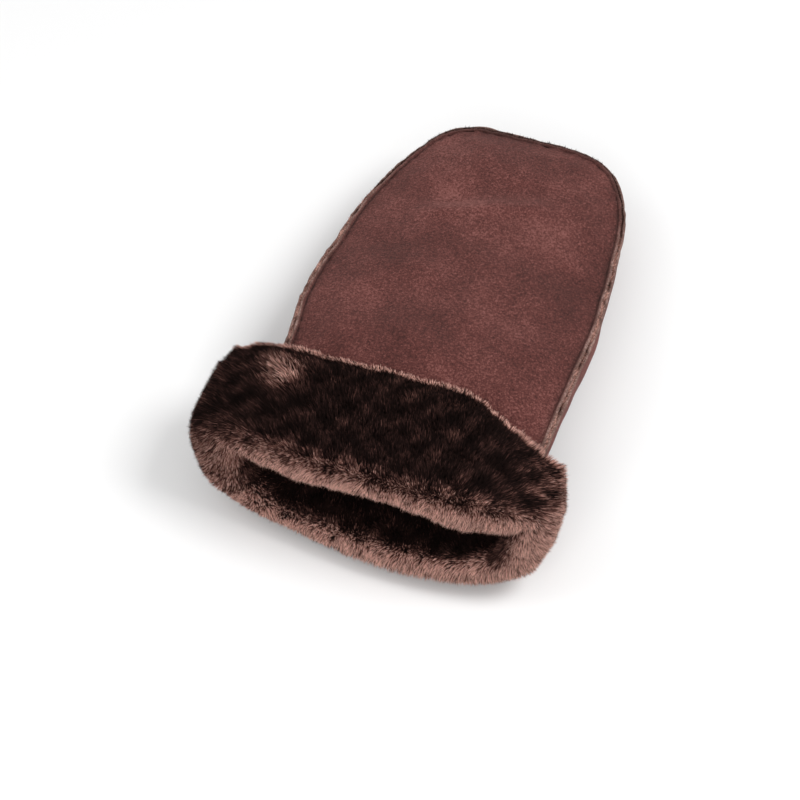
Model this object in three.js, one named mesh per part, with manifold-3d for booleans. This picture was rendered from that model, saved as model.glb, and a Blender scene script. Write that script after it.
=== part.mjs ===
// A left-hand shearling mitten, back up, with its pile cuff turned back over the wrist.
// It is sewn from double-faced sheepskin: suede outside, pile inside, raw seam edges turned outwards.
// Millimetres. +X is the thumb's side, +Y the finger tips, +Z up. The origin is under the middle of
// the mitten, on the surface that it lies on.

import * as THREE from "three";
import { mergeVertices } from "three/addons/utils/BufferGeometryUtils.js";
import Module from "manifold-3d";

// Driving dimensions of the hand
const LENGTH = 243; // front of the fold to the seam edge at the finger tips
const HAND_WIDTH = 124; // between the two side seams, at the widest part of the hand
const GUSSET_HEIGHT = 22; // from the palm seam to the back seam
const GUSSET_BULGE = 2.5; // how far the side wall swells out between its seams
const BACK_CROWN = 8; // rise of the back panel above its seam
const PALM_BELLY = 5; // how far the palm hangs below its seam
const PALM_INSET = 5; // how much nearer the middle the palm seam lies than the back seam
const TIP_ROUND = 50; // length over which the outline closes at the finger tips
const CROWN_ROUND = 44; // length over which the back closes towards the tip seam
const PALM_ROUND = 26; // length over which the palm rises towards it

// Driving dimensions of the hide, pile and seams
const HIDE = 1.5; // suede and skin without the pile
const SEAM_LIP = 3.5; // height of the raw edges that stand out at a seam
const LIP_LEAN = THREE.MathUtils.degToRad(60); // of the back seam's edges, above the horizontal
const PALM_LIP_LEAN = THREE.MathUtils.degToRad(-25); // the same at the palm seam
const SEWN_GAP = 0.5; // between the two hides of a seam
const TOUCH = 0.3; // gap between pieces that lie against each other
const CUFF_PILE = 8.5; // depth of the pile on the turned cuff
const LINING_PILE = 4.5; // depth of the pile inside
const LINING_EASE = 1.4; // between a hide and the lining behind it
const LOCK_RELIEF = 1; // how far a lock of the cuff's pile stands out
const REST_SQUASH = 0.6; // how far palm, thumb and cuff are pressed flat where they rest

// Driving dimensions of the turned cuff. A stand is the gap between the hand and the cuff's hide.
const CUFF_TURN = 61; // front of the fold to the raw edge, on top
const TOP_STAND = 2;
const UNDER_STAND = 1.2;
const FOLD_STAND = { left: 11, right: 4.5 }; // at the sides of the fold
const EDGE_STAND = { left: 12, right: 3.5 }; // at the sides of the raw edge
const MOUTH_SETBACK = 8; // how far the fold lies back at the sides of the mouth
const TOP_SETBACK = 7; // how far the upper lip of the mouth lies behind the lower
const EDGE_SLANT = 18; // how much nearer the raw edge comes to the mouth on the thumb's side
const EDGE_PILE = 5; // depth of the pile at the raw edge
const EDGE_TAPER = 14; // length over which it reaches its full depth
const PRESSED_LIP = 1.6; // height of the seams' edges under the cuff

// Driving dimensions of the thumb, a flat pocket on the palm
const THUMB_LENGTH = 82;
const THUMB_BASE_WIDTH = 44;
const THUMB_TIP_WIDTH = 36;
const THUMB_DEPTH = 13;
const THUMB_FROM_SIDE = 41; // thumb's middle line in from the side at the widest part of the hand
const THUMB_FROM_TIP = 74; // thumb's tip back from the finger tips
const THUMB_HOLE = { width: 32, length: 38 }; // in the palm, at the thumb's base
const DRAPE_LEVEL = 10; // how far round the thumb the palm stays level
const DRAPE_SLOPE = 0.5; // how steeply it falls away beyond that

// Sections from the mouth, station 0, to the finger tips, station 1. left and right are shares of
// half HAND_WIDTH, lift of the height that the cuff holds the palm at, side of GUSSET_HEIGHT, belly
// of PALM_BELLY and crown of BACK_CROWN.
const SECTIONS = [
  { station: 0.0, left: 0.94, right: 0.95, lift: 1.0, side: 0.7, belly: 1.1, crown: 0.4 },
  { station: 0.25, left: 0.935, right: 0.945, lift: 1.0, side: 0.77, belly: 1.0, crown: 0.55 },
  { station: 0.33, left: 0.945, right: 0.945, lift: 0.85, side: 0.9, belly: 0.9, crown: 0.85 },
  { station: 0.43, left: 0.995, right: 0.95, lift: 0.6, side: 1.0, belly: 0.9, crown: 1.0 },
  { station: 0.54, left: 1.0, right: 0.955, lift: 0.4, side: 1.0, belly: 0.9, crown: 1.05 },
  { station: 0.61, left: 0.975, right: 0.945, lift: 0.2, side: 1.0, belly: 0.95, crown: 1.05 },
  { station: 0.69, left: 0.93, right: 0.925, lift: 0.1, side: 1.0, belly: 1.0, crown: 1.0 },
  { station: 0.8, left: 0.825, right: 0.87, lift: 0.0, side: 1.0, belly: 1.0, crown: 0.95 },
  { station: 0.885, left: 0.79, right: 0.825, lift: 0.0, side: 1.0, belly: 1.0, crown: 0.9 },
  { station: 1.0, left: 0.79, right: 0.82, lift: 0.0, side: 1.0, belly: 1.0, crown: 0.85 },
];

// Soft dents of the back panel. across is a share of half HAND_WIDTH, along of LENGTH from its
// middle, reach of HAND_WIDTH and depth of BACK_CROWN.
const DENTS = [
  { across: 0.1, along: 0.06, reach: 0.2, depth: 0.1 },
  { across: -0.25, along: 0.27, reach: 0.16, depth: 0.08 },
  { across: 0.5, along: 0.24, reach: 0.14, depth: 0.1 },
  { across: -0.45, along: -0.05, reach: 0.18, depth: 0.08 },
];

// Rules for shapes
const WIDTH_POWER = 2.5; // rounding of the finger tips
const TIP_FLAT = { left: 0.38, right: 0.22 }; // straight share of the tip seam
const CROWN_POWER = 2.6; // across the back, where 2 is an arc and more is flatter
const DRAPE_POWER = 14; // how near to the seams the palm keeps its drape
const CUFF_POWER = 3; // how the cuff's section turns from its top to its sides
const SETBACK_POWER = 4; // how the fold's front curves back at the sides
const LIP_TURN = [-0.4, 0.6]; // upward slope of the cuff between its lower lip and its upper lip
const SLANT_ACROSS = [0.35, 1]; // shares of the half width between which the raw edge slants
const SLANT_DOWN = [-0.6, 0.3]; // downward slope of the cuff between which it slants on the sides
const DISH_POWER = 4; // how flat the thumb's underside is
const MITRE_LIMIT = 0.7; // least share of a hide's thickness kept at a fold

// How finely the pieces are cut
const ACROSS = 12; // cells across a panel
const ROWS = 17; // cells along it
const ROW_BUNCHING = 1.8; // how much closer the rows lie at the finger tips
const WALL_STEPS = 4; // cells up the side wall
const CUFF_CELLS = { across: 16, side: 6 }; // cells round the cuff
const LINING_CELLS = { across: ACROSS, side: 3 };
const HIDE_CELLS = { straight: 4, bend: 4 }; // cells along the cuff's hide and round its fold
const LOCK_CELLS = { straight: 14, bend: 6 }; // two for each lock of the pile
const THUMB_SIDES = 24;

const { cos, sin, abs, min, max, pow, sign, PI } = Math;
const { clamp, lerp } = THREE.MathUtils;
const smooth = THREE.MathUtils.smoothstep;
const UP = new THREE.Vector3(0, 0, 1);
const wasm = await Module();
wasm.setup();

// Places that follow from the sizes
const lipReach = SEAM_LIP * cos(LIP_LEAN) + HIDE + SEWN_GAP / 2;
const FRONT_Y = -LENGTH / 2;
const TIP_Y = LENGTH / 2 - max(lipReach, GUSSET_BULGE + HIDE);
const RAW_EDGE_Y = FRONT_Y + TOP_SETBACK + CUFF_TURN;
const CUFF_LAYERS = HIDE + TOUCH + CUFF_PILE;
const widestStand = max(TOP_STAND, FOLD_STAND.left, FOLD_STAND.right);
const MOUTH_DEPTH = MOUTH_SETBACK + TOP_SETBACK + CUFF_LAYERS + widestStand / 2 + HIDE;
const WALL_END_Y = FRONT_Y + MOUTH_DEPTH;
const WRIST_LIFT = UNDER_STAND + CUFF_LAYERS - REST_SQUASH;

// Each column of SECTIONS as a smooth curve through its rows
const stations = SECTIONS.map((row) => row.station);
const curves = {};
for (const name of Object.keys(SECTIONS[0])) {
  const values = SECTIONS.map((row) => row[name]);
  curves[name] = new THREE.CubicInterpolant(stations, values, 1);
}
const column = (name, y) => curves[name].evaluate((y - FRONT_Y) / LENGTH)[0];

// Distance from the middle to the seam at y, on the side that x lies on: the sections' width,
// closed at the finger tips.
function halfWidth(y, x) {
  const back = clamp((TIP_Y - y) / TIP_ROUND, 0, 1);
  const round = pow(1 - pow(1 - back, WIDTH_POWER), 1 / WIDTH_POWER);
  const hand = x < 0 ? "left" : "right";
  return (HAND_WIDTH / 2) * column(hand, y) * lerp(TIP_FLAT[hand], 1, round);
}

// The same on a course that runs the given offset outside the back seam's.
const offsetHalf = (y, x, offset) => halfWidth(y - offset, x) + offset;

// 1 in the middle of a panel and 0 at its seam, at the sides and at the finger tips. The palm's
// seam lies inside the back's by the inset. round is the length over which it closes at the tips.
function swell(x, y, inset, round) {
  const side = 1 - pow(min(abs(x) / offsetHalf(y, x, -inset), 1), CROWN_POWER);
  const tip = 1 - pow(1 - clamp((TIP_Y - inset - y) / round, 0, 1), CROWN_POWER);
  return side * tip;
}

const palmSeamZ = (y) => WRIST_LIFT * column("lift", y) + HIDE + PALM_BELLY * column("belly", y);
const backSeamZ = (y) => palmSeamZ(y) + GUSSET_HEIGHT * column("side", y);

// Height of the back panel's pile side.
function backZ(x, y) {
  const dent = DENTS.reduce((sum, d) => {
    const dx = (x - (d.across * HAND_WIDTH) / 2) / (d.reach * HAND_WIDTH);
    const dy = (y - d.along * LENGTH) / (d.reach * HAND_WIDTH);
    return sum + d.depth * Math.exp(-2 * (dx * dx + dy * dy));
  }, 0);
  const crown = BACK_CROWN * (column("crown", y) - dent);
  return backSeamZ(y) + crown * swell(x, y, 0, CROWN_ROUND);
}

// The ends of the thumb's middle line, and how far a point is outside the palm's level stretch.
const thumbX = HAND_WIDTH / 2 - THUMB_FROM_SIDE;
const thumbBase = new THREE.Vector2(
  thumbX,
  TIP_Y - THUMB_FROM_TIP - THUMB_LENGTH + THUMB_BASE_WIDTH / 2,
);
const thumbTip = new THREE.Vector2(thumbX, TIP_Y - THUMB_FROM_TIP - THUMB_TIP_WIDTH / 2);
function outsideThumb(x, y) {
  const line = thumbTip.clone().sub(thumbBase);
  const point = new THREE.Vector2(x, y).sub(thumbBase);
  const along = clamp(point.dot(line) / line.lengthSq(), 0, 1);
  const half = lerp(THUMB_BASE_WIDTH, THUMB_TIP_WIDTH, along) / 2;
  return max(point.addScaledVector(line, -along).length() - half - SEAM_LIP - DRAPE_LEVEL, 0);
}

// Height of the palm panel's pile side: it hangs below its seam, lies on the surface at the
// fingers, and drapes over the thumb.
function palmZ(x, y) {
  const hang = PALM_BELLY * column("belly", y) + REST_SQUASH;
  const hanging = palmSeamZ(y) - hang * swell(x, y, PALM_INSET, PALM_ROUND);
  const inside = 1 - pow(min(abs(x) / offsetHalf(y, x, -PALM_INSET), 1), DRAPE_POWER);
  const draped = THUMB_DEPTH + 2 * TOUCH + HIDE - DRAPE_SLOPE * outsideThumb(x, y);
  return max(hanging, lerp(hanging, draped, inside), HIDE);
}

// Nothing goes below the surface that the mitten lies on.
const onSurface = (point) => point.setZ(max(point.z, 0));

function indexed(position, index) {
  const geometry = new THREE.BufferGeometry();
  geometry.setAttribute("position", new THREE.Float32BufferAttribute(position, 3));
  geometry.setIndex(index);
  return geometry;
}

// A closed solid from an open sheet of triangles: its other side lies the given thickness along
// the normals, and each free edge is closed by a strip.
function shell(points, triangles, thickness) {
  const count = points.length;
  const normals = points.map(() => new THREE.Vector3());
  const faces = triangles.map(([a, b, c]) => {
    const edge = points[b].clone().sub(points[a]);
    return edge.cross(points[c].clone().sub(points[a])).normalize();
  });
  triangles.forEach((corners, i) => corners.forEach((c) => normals[c].add(faces[i])));
  normals.forEach((n) => n.normalize());
  const share = new Array(count).fill(1);
  triangles.forEach((corners, i) => {
    for (const c of corners) share[c] = min(share[c], max(normals[c].dot(faces[i]), MITRE_LIMIT));
  });
  const far = points.map((p, i) => {
    const moved = p.clone().addScaledVector(normals[i], thickness / share[i]);
    return onSurface(moved);
  });
  const index = [];
  const edges = new Map();
  for (const [a, b, c] of triangles) {
    index.push(c, b, a, a + count, b + count, c + count);
    for (const [from, to] of [[a, b], [b, c], [c, a]]) {
      if (!edges.delete(`${to},${from}`)) edges.set(`${from},${to}`, [from, to]);
    }
  }
  for (const [from, to] of edges.values())
    index.push(from, to, to + count, from, to + count, from + count);
  return indexed([...points, ...far].flatMap((p) => p.toArray()), index);
}

// The two triangles of a cell, parted along its shorter diagonal.
function cell(points, a, b, c, d) {
  const first = points[a].distanceTo(points[c]) < points[b].distanceTo(points[d]);
  return first ? [[a, b, c], [a, c, d]] : [[b, c, d], [b, d, a]];
}

// A closed solid through rings of points. The last ring joins the first or, where capped is true,
// both ends are closed by a fan.
function ringSolid(rings, capped) {
  const around = rings[0].length;
  const points = rings.flat();
  const position = points.flatMap((p) => p.toArray());
  const index = [];
  for (let i = 0; i < rings.length - (capped ? 1 : 0); i += 1) {
    const here = i * around;
    const next = ((i + 1) % rings.length) * around;
    for (let j = 0; j < around; j += 1) {
      const k = (j + 1) % around;
      index.push(...cell(points, here + j, here + k, next + k, next + j).flat());
    }
  }
  for (const first of capped ? [0, (rings.length - 1) * around] : []) {
    const ring = rings[first / around];
    const middle = ring.reduce((sum, p) => sum.add(p), new THREE.Vector3()).divideScalar(around);
    const centre = position.length / 3;
    position.push(...middle.toArray());
    for (let j = 0; j < around; j += 1) {
      const pair = [first + j, first + ((j + 1) % around)];
      index.push(centre, ...(first === 0 ? pair.reverse() : pair));
    }
  }
  return indexed(position, index);
}

// Takes one closed solid out of another.
function cut(geometry, tool) {
  const [solid, hole] = [geometry, tool].map((source) => {
    const plain = source.clone();
    plain.deleteAttribute("normal");
    plain.deleteAttribute("uv");
    const merged = mergeVertices(plain);
    return new wasm.Manifold(
      new wasm.Mesh({
        numProp: 3,
        vertProperties: merged.getAttribute("position").array,
        triVerts: Uint32Array.from(merged.index.array),
      }),
    );
  });
  const result = solid.subtract(hole).getMesh();
  return indexed(Array.from(result.vertProperties), Array.from(result.triVerts));
}

// Rows of the net that all pieces of the hand share, from the wall's end to the finger tips, and
// the same rows on a course the given offset outside the back seam's.
const rowsY = Array.from({ length: ROWS + 1 }, (_, i) =>
  lerp(TIP_Y, WALL_END_Y, pow(1 - i / ROWS, ROW_BUNCHING)),
);
const offsetRow = (row, offset) =>
  row + (offset * max(row - WALL_END_Y, 0)) / (TIP_Y - WALL_END_Y);
const crossing = (i, y, offset) =>
  lerp(-1, 1, i / ACROSS) * offsetHalf(y, i - ACROSS / 2, offset);

// A seam round the hand, from the wrist on the left round the finger tips to the wrist on the
// right. root is the sewing line, moved to one side of the sewn gap, out the way out from the hand,
// and top the top of the raw edge that stands on the line, which the cuff presses down.
function seamEdge({ height, lean, inset }, side) {
  const rows = rowsY.map((row) => offsetRow(row, -inset));
  const tip = rows.at(-1);
  const course = [
    ...rows.map((y) => [crossing(0, y, -inset), y]),
    ...Array.from({ length: ACROSS - 1 }, (_, i) => [crossing(i + 1, tip, -inset), tip]),
    ...rows.toReversed().map((y) => [crossing(ACROSS, y, -inset), y]),
  ].map(([x, y]) => new THREE.Vector2(x, y));
  return course.map((p, i) => {
    const from = course[max(i - 1, 0)];
    const to = course[min(i + 1, course.length - 1)];
    const out = new THREE.Vector3(from.y - to.y, to.x - from.x, 0).normalize();
    const along = out.clone().multiplyScalar(cos(lean)).addScaledVector(UP, sin(lean));
    const across = out.clone().multiplyScalar(sin(lean)).addScaledVector(UP, -cos(lean));
    const root = new THREE.Vector3(p.x, p.y, height(p.y));
    root.addScaledVector(across, (side * SEWN_GAP) / 2);
    const free = smooth(p.y, RAW_EDGE_Y, RAW_EDGE_Y + CUFF_LAYERS);
    const top = root.clone().addScaledVector(along, lerp(PRESSED_LIP, SEAM_LIP, free));
    return { root, out, top };
  });
}
const BACK_SEAM = { height: backSeamZ, lean: LIP_LEAN, inset: 0 };
const PALM_SEAM = { height: palmSeamZ, lean: PALM_LIP_LEAN, inset: PALM_INSET };

// A hide over or under the hand: a net of cells between its seams, and the raw edge round it.
function panel(height, seam, side, facesDown) {
  const edge = seamEdge(seam, side);
  const points = [];
  const wide = ACROSS + 1;
  rowsY.forEach((level, row) => {
    const y = offsetRow(level, -seam.inset);
    for (let i = 0; i < wide; i += 1) {
      const x = crossing(i, y, -seam.inset);
      points.push(new THREE.Vector3(x, y, height(x, y)));
    }
    points[row * wide] = edge[row].root;
    points[row * wide + ACROSS] = edge[edge.length - 1 - row].root;
  });
  for (let i = 1; i < ACROSS; i += 1) points[ROWS * wide + i] = edge[ROWS + i].root;
  const rim = edge.map((_, i) => {
    if (i <= ROWS) return i * wide;
    if (i < ROWS + ACROSS) return ROWS * wide + i - ROWS;
    return (edge.length - 1 - i) * wide + ACROSS;
  });
  const triangles = [];
  for (let row = 0; row < ROWS; row += 1) {
    for (let i = 0; i < ACROSS; i += 1) {
      const a = row * wide + i;
      triangles.push(...cell(points, a, a + 1, a + wide + 1, a + wide));
    }
  }
  const firstTop = points.length;
  points.push(...edge.map((e) => e.top));
  for (let i = 0; i + 1 < edge.length; i += 1)
    triangles.push(...cell(points, rim[i], rim[i + 1], firstTop + i + 1, firstTop + i));
  return shell(points, facesDown ? triangles.map((t) => t.toReversed()) : triangles, HIDE);
}

// How far the side wall swells out, a share of the way between its seams.
const bulge = (share) => GUSSET_BULGE * 4 * share * (1 - share);

// The strip between the two seams, with a raw edge on both sides.
function sideGusset() {
  const low = seamEdge(PALM_SEAM, -1);
  const high = seamEdge(BACK_SEAM, 1);
  const columns = high.map(({ out }, i) => {
    const wall = Array.from({ length: WALL_STEPS - 1 }, (_, k) => {
      const share = (k + 1) / WALL_STEPS;
      const point = low[i].root.clone().lerp(high[i].root, share);
      return point.addScaledVector(out, bulge(share));
    });
    return [low[i].top, low[i].root, ...wall, high[i].root, high[i].top];
  });
  const tall = columns[0].length;
  const points = columns.flat();
  const triangles = [];
  for (let i = 0; i + 1 < columns.length; i += 1) {
    for (let k = 0; k + 1 < tall; k += 1) {
      const a = i * tall + k;
      triangles.push(...cell(points, a, a + 1, a + tall + 1, a + tall));
    }
  }
  return shell(points, triangles, HIDE);
}

// Places round a section: over the back from left to right, down the right side, under the palm
// and up the left side.
function placesRound({ across, side }) {
  const parts = [["back", across], ["right", side], ["palm", across], ["left", side]];
  return parts.flatMap(([part, count]) =>
    Array.from({ length: count }, (_, i) => ({ part, share: i / count })),
  );
}

// The point of the hand's section on a row at a place, the given distance outside its pile side.
function handPoint({ part, share }, row, outside) {
  const under = outside - PALM_INSET;
  const backY = offsetRow(row, outside);
  const palmY = offsetRow(row, under);
  const onBack = (x) => new THREE.Vector3(x, backY, backZ(x, backY) + outside);
  const onPalm = (x) => new THREE.Vector3(x, palmY, palmZ(x, palmY) - outside);
  const backEdge = (to) => to * offsetHalf(backY, to, outside);
  const palmEdge = (to) => to * offsetHalf(palmY, to, under);
  if (part === "back") return onBack(lerp(backEdge(-1), backEdge(1), share));
  if (part === "palm") return onPalm(lerp(palmEdge(1), palmEdge(-1), share));
  const to = part === "right" ? 1 : -1;
  const ends = [onBack(backEdge(to)), onPalm(palmEdge(to))];
  if (part === "left") ends.reverse();
  const point = ends[0].lerp(ends[1], share);
  point.x += to * bulge(share);
  return point;
}

// The hand's suede at a place under the cuff, the way from there straight through the cuff, and
// the stand of the cuff's hide along it.
function underCuff(place, y) {
  const wall = handPoint(place, y, HIDE);
  const top = backZ(0, y) + HIDE;
  const bottom = palmSeamZ(y) - PALM_BELLY * column("belly", y) - HIDE;
  const wide = wall.x / offsetHalf(y, wall.x, HIDE);
  const high = (2 * wall.z - top - bottom) / (top - bottom);
  const bend = (value) => sign(value) * pow(abs(value), CUFF_POWER);
  const way = new THREE.Vector3(bend(wide), 0, bend(high)).normalize();
  const hand = wall.x < 0 ? "left" : "right";
  const back = smooth(y, FRONT_Y, RAW_EDGE_Y);
  const beside = lerp(FOLD_STAND[hand], EDGE_STAND[hand], back);
  const stand = lerp(way.z > 0 ? TOP_STAND : UNDER_STAND, beside, way.x * way.x);
  return { wall, way, stand, wide };
}

// A point of a layer of the cuff. stop says where on the layer's course it is: outside, with a
// share of the way from the raw edge to the fold, on the fold, with a share of its turn, or
// inside, at the wall's end. lift gives the layer's distance from the cuff hide's suede side.
function cuffPoint(place, stop, lift) {
  const front = underCuff(place, FRONT_Y);
  const aside = MOUTH_SETBACK * pow(min(abs(front.wide), 1), SETBACK_POWER);
  const frontY = FRONT_Y + aside + TOP_SETBACK * smooth(front.way.z, ...LIP_TURN);
  const slant = max(smooth(front.wide, ...SLANT_ACROSS), smooth(-front.way.z, ...SLANT_DOWN));
  const edgeY = RAW_EDGE_Y - EDGE_SLANT * slant;
  const bendY = frontY + CUFF_LAYERS + underCuff(place, frontY).stand / 2;
  if (stop.kind === "outside") {
    const y = lerp(edgeY, bendY, stop.share);
    const { wall, way, stand } = underCuff(place, y);
    return onSurface(wall.addScaledVector(way, stand + lift(stop, edgeY - y)));
  }
  if (stop.kind === "inside") {
    const { wall, way } = underCuff(place, WALL_END_Y - TOUCH);
    return wall.addScaledVector(way, -lift(stop, edgeY - WALL_END_Y));
  }
  const { wall, way, stand } = underCuff(place, bendY);
  const angle = lerp(PI / 2, -PI / 2, stop.share);
  const radius = stand / 2 + lift(stop, edgeY - bendY);
  const point = wall.addScaledVector(way, stand / 2 + radius * sin(angle));
  point.y -= radius * cos(angle);
  return onSurface(point);
}

// A layer of the cuff, as rings from the raw edge round the fold to the wall's end.
function cuffLayer({ straight, bend }, lift) {
  const stops = [
    ...Array.from({ length: straight }, (_, i) => ({ kind: "outside", share: i / straight })),
    ...Array.from({ length: bend + 1 }, (_, i) => ({ kind: "fold", share: i / bend })),
    { kind: "inside", share: 1 },
  ];
  const places = placesRound(CUFF_CELLS);
  return stops.map((stop, row) =>
    places.map((place, k) => cuffPoint(place, stop, (at, back) => lift(at, back, row, k))),
  );
}

// A ring round the hand between an inner and an outer layer of the cuff.
const cuffRing = (inner, outer) => ringSolid([...inner, ...outer.toReversed()], false);

const cuffHide = () =>
  cuffRing(cuffLayer(HIDE_CELLS, () => 0), cuffLayer(HIDE_CELLS, () => HIDE));

// The pile of the cuff: full depth outside, thinner at the raw edge and inside the mouth, with
// locks in staggered rows.
function cuffPile() {
  const tips = (stop, back, row, k) => {
    const inside = stop.kind === "inside" ? 1 : 0;
    const turned = stop.kind === "fold" ? smooth(stop.share, 0.5, 1) : inside;
    const full = lerp(TOUCH + CUFF_PILE, LINING_EASE + LINING_PILE, turned);
    const depth = lerp(TOUCH + EDGE_PILE, full, smooth(back, 0, EDGE_TAPER));
    const crest = row % 2 === 1 && (k + (row - 1) / 2) % 2 === 0;
    return HIDE + depth + (crest && !inside ? LOCK_RELIEF : 0);
  };
  return cuffRing(cuffLayer(HIDE_CELLS, () => HIDE + TOUCH), cuffLayer(LOCK_CELLS, tips));
}

// The pile inside the hand, a cup that is open at the mouth, from its inner tip to its outer tip.
function liningPile() {
  const places = placesRound(LINING_CELLS);
  const layer = (outside) =>
    rowsY.toReversed().map((row) => places.map((place) => handPoint(place, row, outside)));
  return ringSolid(
    [...layer(-LINING_EASE - LINING_PILE), ...layer(-LINING_EASE).toReversed()],
    true,
  );
}

// A point on the thumb's outline, in the direction of angle from its own end's centre, drawn in
// to a share of its distance from the thumb's middle. extra widens the outline.
function thumbPoint(angle, share, extra, z) {
  const forward = sin(angle) > 0;
  const centre = forward ? thumbTip : thumbBase;
  const radius = (forward ? THUMB_TIP_WIDTH : THUMB_BASE_WIDTH) / 2 + extra;
  const edge = new THREE.Vector2(cos(angle), sin(angle)).multiplyScalar(radius).add(centre);
  const middle = thumbTip.clone().add(thumbBase).divideScalar(2);
  middle.lerp(edge, share);
  return new THREE.Vector3(middle.x, middle.y, z);
}

// One hide of the thumb: rings from its middle to its seam, and the raw edge beyond it.
function thumbHide(height, facesDown) {
  const shares = [0.35, 0.6, 0.8, 0.92, 1];
  const angles = Array.from({ length: THUMB_SIDES }, (_, i) => ((i + 0.5) / THUMB_SIDES) * 2 * PI);
  const points = [thumbPoint(0, 0, 0, height(0))];
  for (const share of shares)
    points.push(...angles.map((angle) => thumbPoint(angle, share, 0, height(share))));
  points.push(...angles.map((angle) => thumbPoint(angle, 1, SEAM_LIP, height(1))));
  const triangles = angles.map((_, i) => [0, 1 + i, 1 + ((i + 1) % THUMB_SIDES)]);
  for (let ring = 0; ring < shares.length; ring += 1) {
    for (let i = 0; i < THUMB_SIDES; i += 1) {
      const here = 1 + ring * THUMB_SIDES;
      const [a, b] = [here + i, here + ((i + 1) % THUMB_SIDES)];
      triangles.push(...cell(points, a, a + THUMB_SIDES, b + THUMB_SIDES, b));
    }
  }
  return shell(points, facesDown ? triangles.map((t) => t.toReversed()) : triangles, HIDE);
}

const thumbSeamZ = THUMB_DEPTH - HIDE - SEWN_GAP;
const thumbUnderZ = (share) =>
  max(lerp(HIDE - REST_SQUASH, thumbSeamZ, pow(share, DISH_POWER)), HIDE);

// The way from the hand into the thumb, as a solid that is cut out of what lies between them.
function thumbHole() {
  const outline = new THREE.Shape();
  outline.absellipse(
    thumbBase.x,
    thumbBase.y + (THUMB_HOLE.length - THUMB_HOLE.width) / 2,
    THUMB_HOLE.width / 2,
    THUMB_HOLE.length / 2,
    0,
    2 * PI,
  );
  const depth = THUMB_DEPTH + 2 * HIDE + LINING_EASE + LINING_PILE;
  return new THREE.ExtrudeGeometry(outline, { depth, curveSegments: 12, bevelEnabled: false });
}

const suede = new THREE.MeshStandardMaterial({ color: 0x5f3d38, roughness: 0.95, metalness: 0 });
const suedeShade = new THREE.MeshStandardMaterial({ color: 0x543530, roughness: 0.95, metalness: 0 });
const pile = new THREE.MeshStandardMaterial({ color: 0x6b4a43, roughness: 1, metalness: 0 });
const pileShade = new THREE.MeshStandardMaterial({ color: 0x4a312c, roughness: 1, metalness: 0 });

const hole = thumbHole();
const pieces = {
  back_panel: [panel(backZ, BACK_SEAM, -1, false), suede],
  palm_panel: [cut(panel(palmZ, PALM_SEAM, 1, true), hole), suede],
  side_gusset: [sideGusset(), suedeShade],
  thumb_outer: [thumbHide(thumbUnderZ, true), suede],
  thumb_inner: [cut(thumbHide(() => THUMB_DEPTH - HIDE, false), hole), suedeShade],
  cuff_hide: [cuffHide(), suedeShade],
  cuff_pile: [cuffPile(), pile],
  lining_pile: [cut(liningPile(), hole), pileShade],
};

const mitten = new THREE.Group();
for (const [name, [geometry, material]] of Object.entries(pieces)) {
  const mesh = new THREE.Mesh(geometry, material);
  mesh.name = name;
  mitten.add(mesh);
}

// The origin goes under the middle of the whole.
const box = new THREE.Box3().setFromObject(mitten);
mitten.position.set(-(box.min.x + box.max.x) / 2, -(box.min.y + box.max.y) / 2, -box.min.z);

export default mitten;
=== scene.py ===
# A left-hand shearling mitten, back up, with its pile cuff turned back over the wrist.
# It is cut from double-faced sheepskin, suede outside and wool inside, and lies on its palm.

import bpy
import numpy as np
from mathutils import Matrix, Vector
from mathutils.kdtree import KDTree


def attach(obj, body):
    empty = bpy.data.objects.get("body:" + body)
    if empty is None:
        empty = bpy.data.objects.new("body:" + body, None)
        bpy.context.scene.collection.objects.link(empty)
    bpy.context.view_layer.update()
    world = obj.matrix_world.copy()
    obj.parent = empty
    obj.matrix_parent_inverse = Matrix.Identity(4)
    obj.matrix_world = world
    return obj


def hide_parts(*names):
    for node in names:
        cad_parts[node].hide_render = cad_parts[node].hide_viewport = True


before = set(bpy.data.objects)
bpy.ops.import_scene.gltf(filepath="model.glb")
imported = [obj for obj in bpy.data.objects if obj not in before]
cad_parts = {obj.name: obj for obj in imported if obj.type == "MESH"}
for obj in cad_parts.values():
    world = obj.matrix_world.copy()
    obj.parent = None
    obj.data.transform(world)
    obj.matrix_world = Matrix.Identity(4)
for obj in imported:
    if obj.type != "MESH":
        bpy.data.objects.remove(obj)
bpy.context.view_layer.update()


# Back hide
# One hide, suede side out, crowned over the back of the hand. Its raw edge is turned up all round
# the hand and sewn to the side strip's along the foot of the lip. Sizes are in millimetres.
MM = 0.001
LENGTH = 243
HAND_WIDTH = 124
GUSSET_HEIGHT = 22
BACK_CROWN = 8
PALM_BELLY = 5
TIP_ROUND = 50
CROWN_ROUND = 44
HIDE = 1.5
SEAM_LIP = 3.5
PRESSED_LIP = 1.6
LIP_KEPT = (0.88, 0.68)
LIP_SLIMS = (40, 100)
LIP_UNEVEN = 0.16
LIP_SWAY = np.radians(4)
SEWN_GAP = 0.5
TOUCH = 0.3
REST_SQUASH = 0.6
GUSSET_BULGE = 2.5
CUFF_PILE = 8.5
CUFF_TURN = 61
UNDER_STAND = 1.2
TOP_SETBACK = 7
MOUTH_SETBACK = 8
FOLD_STAND = (11, 4.5)
BACK_LEAN = np.radians(60)
PLACE = np.array([3.271, 0.867, 0])
COLUMNS = ["station", "left", "right", "lift", "side", "belly", "crown"]
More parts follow.
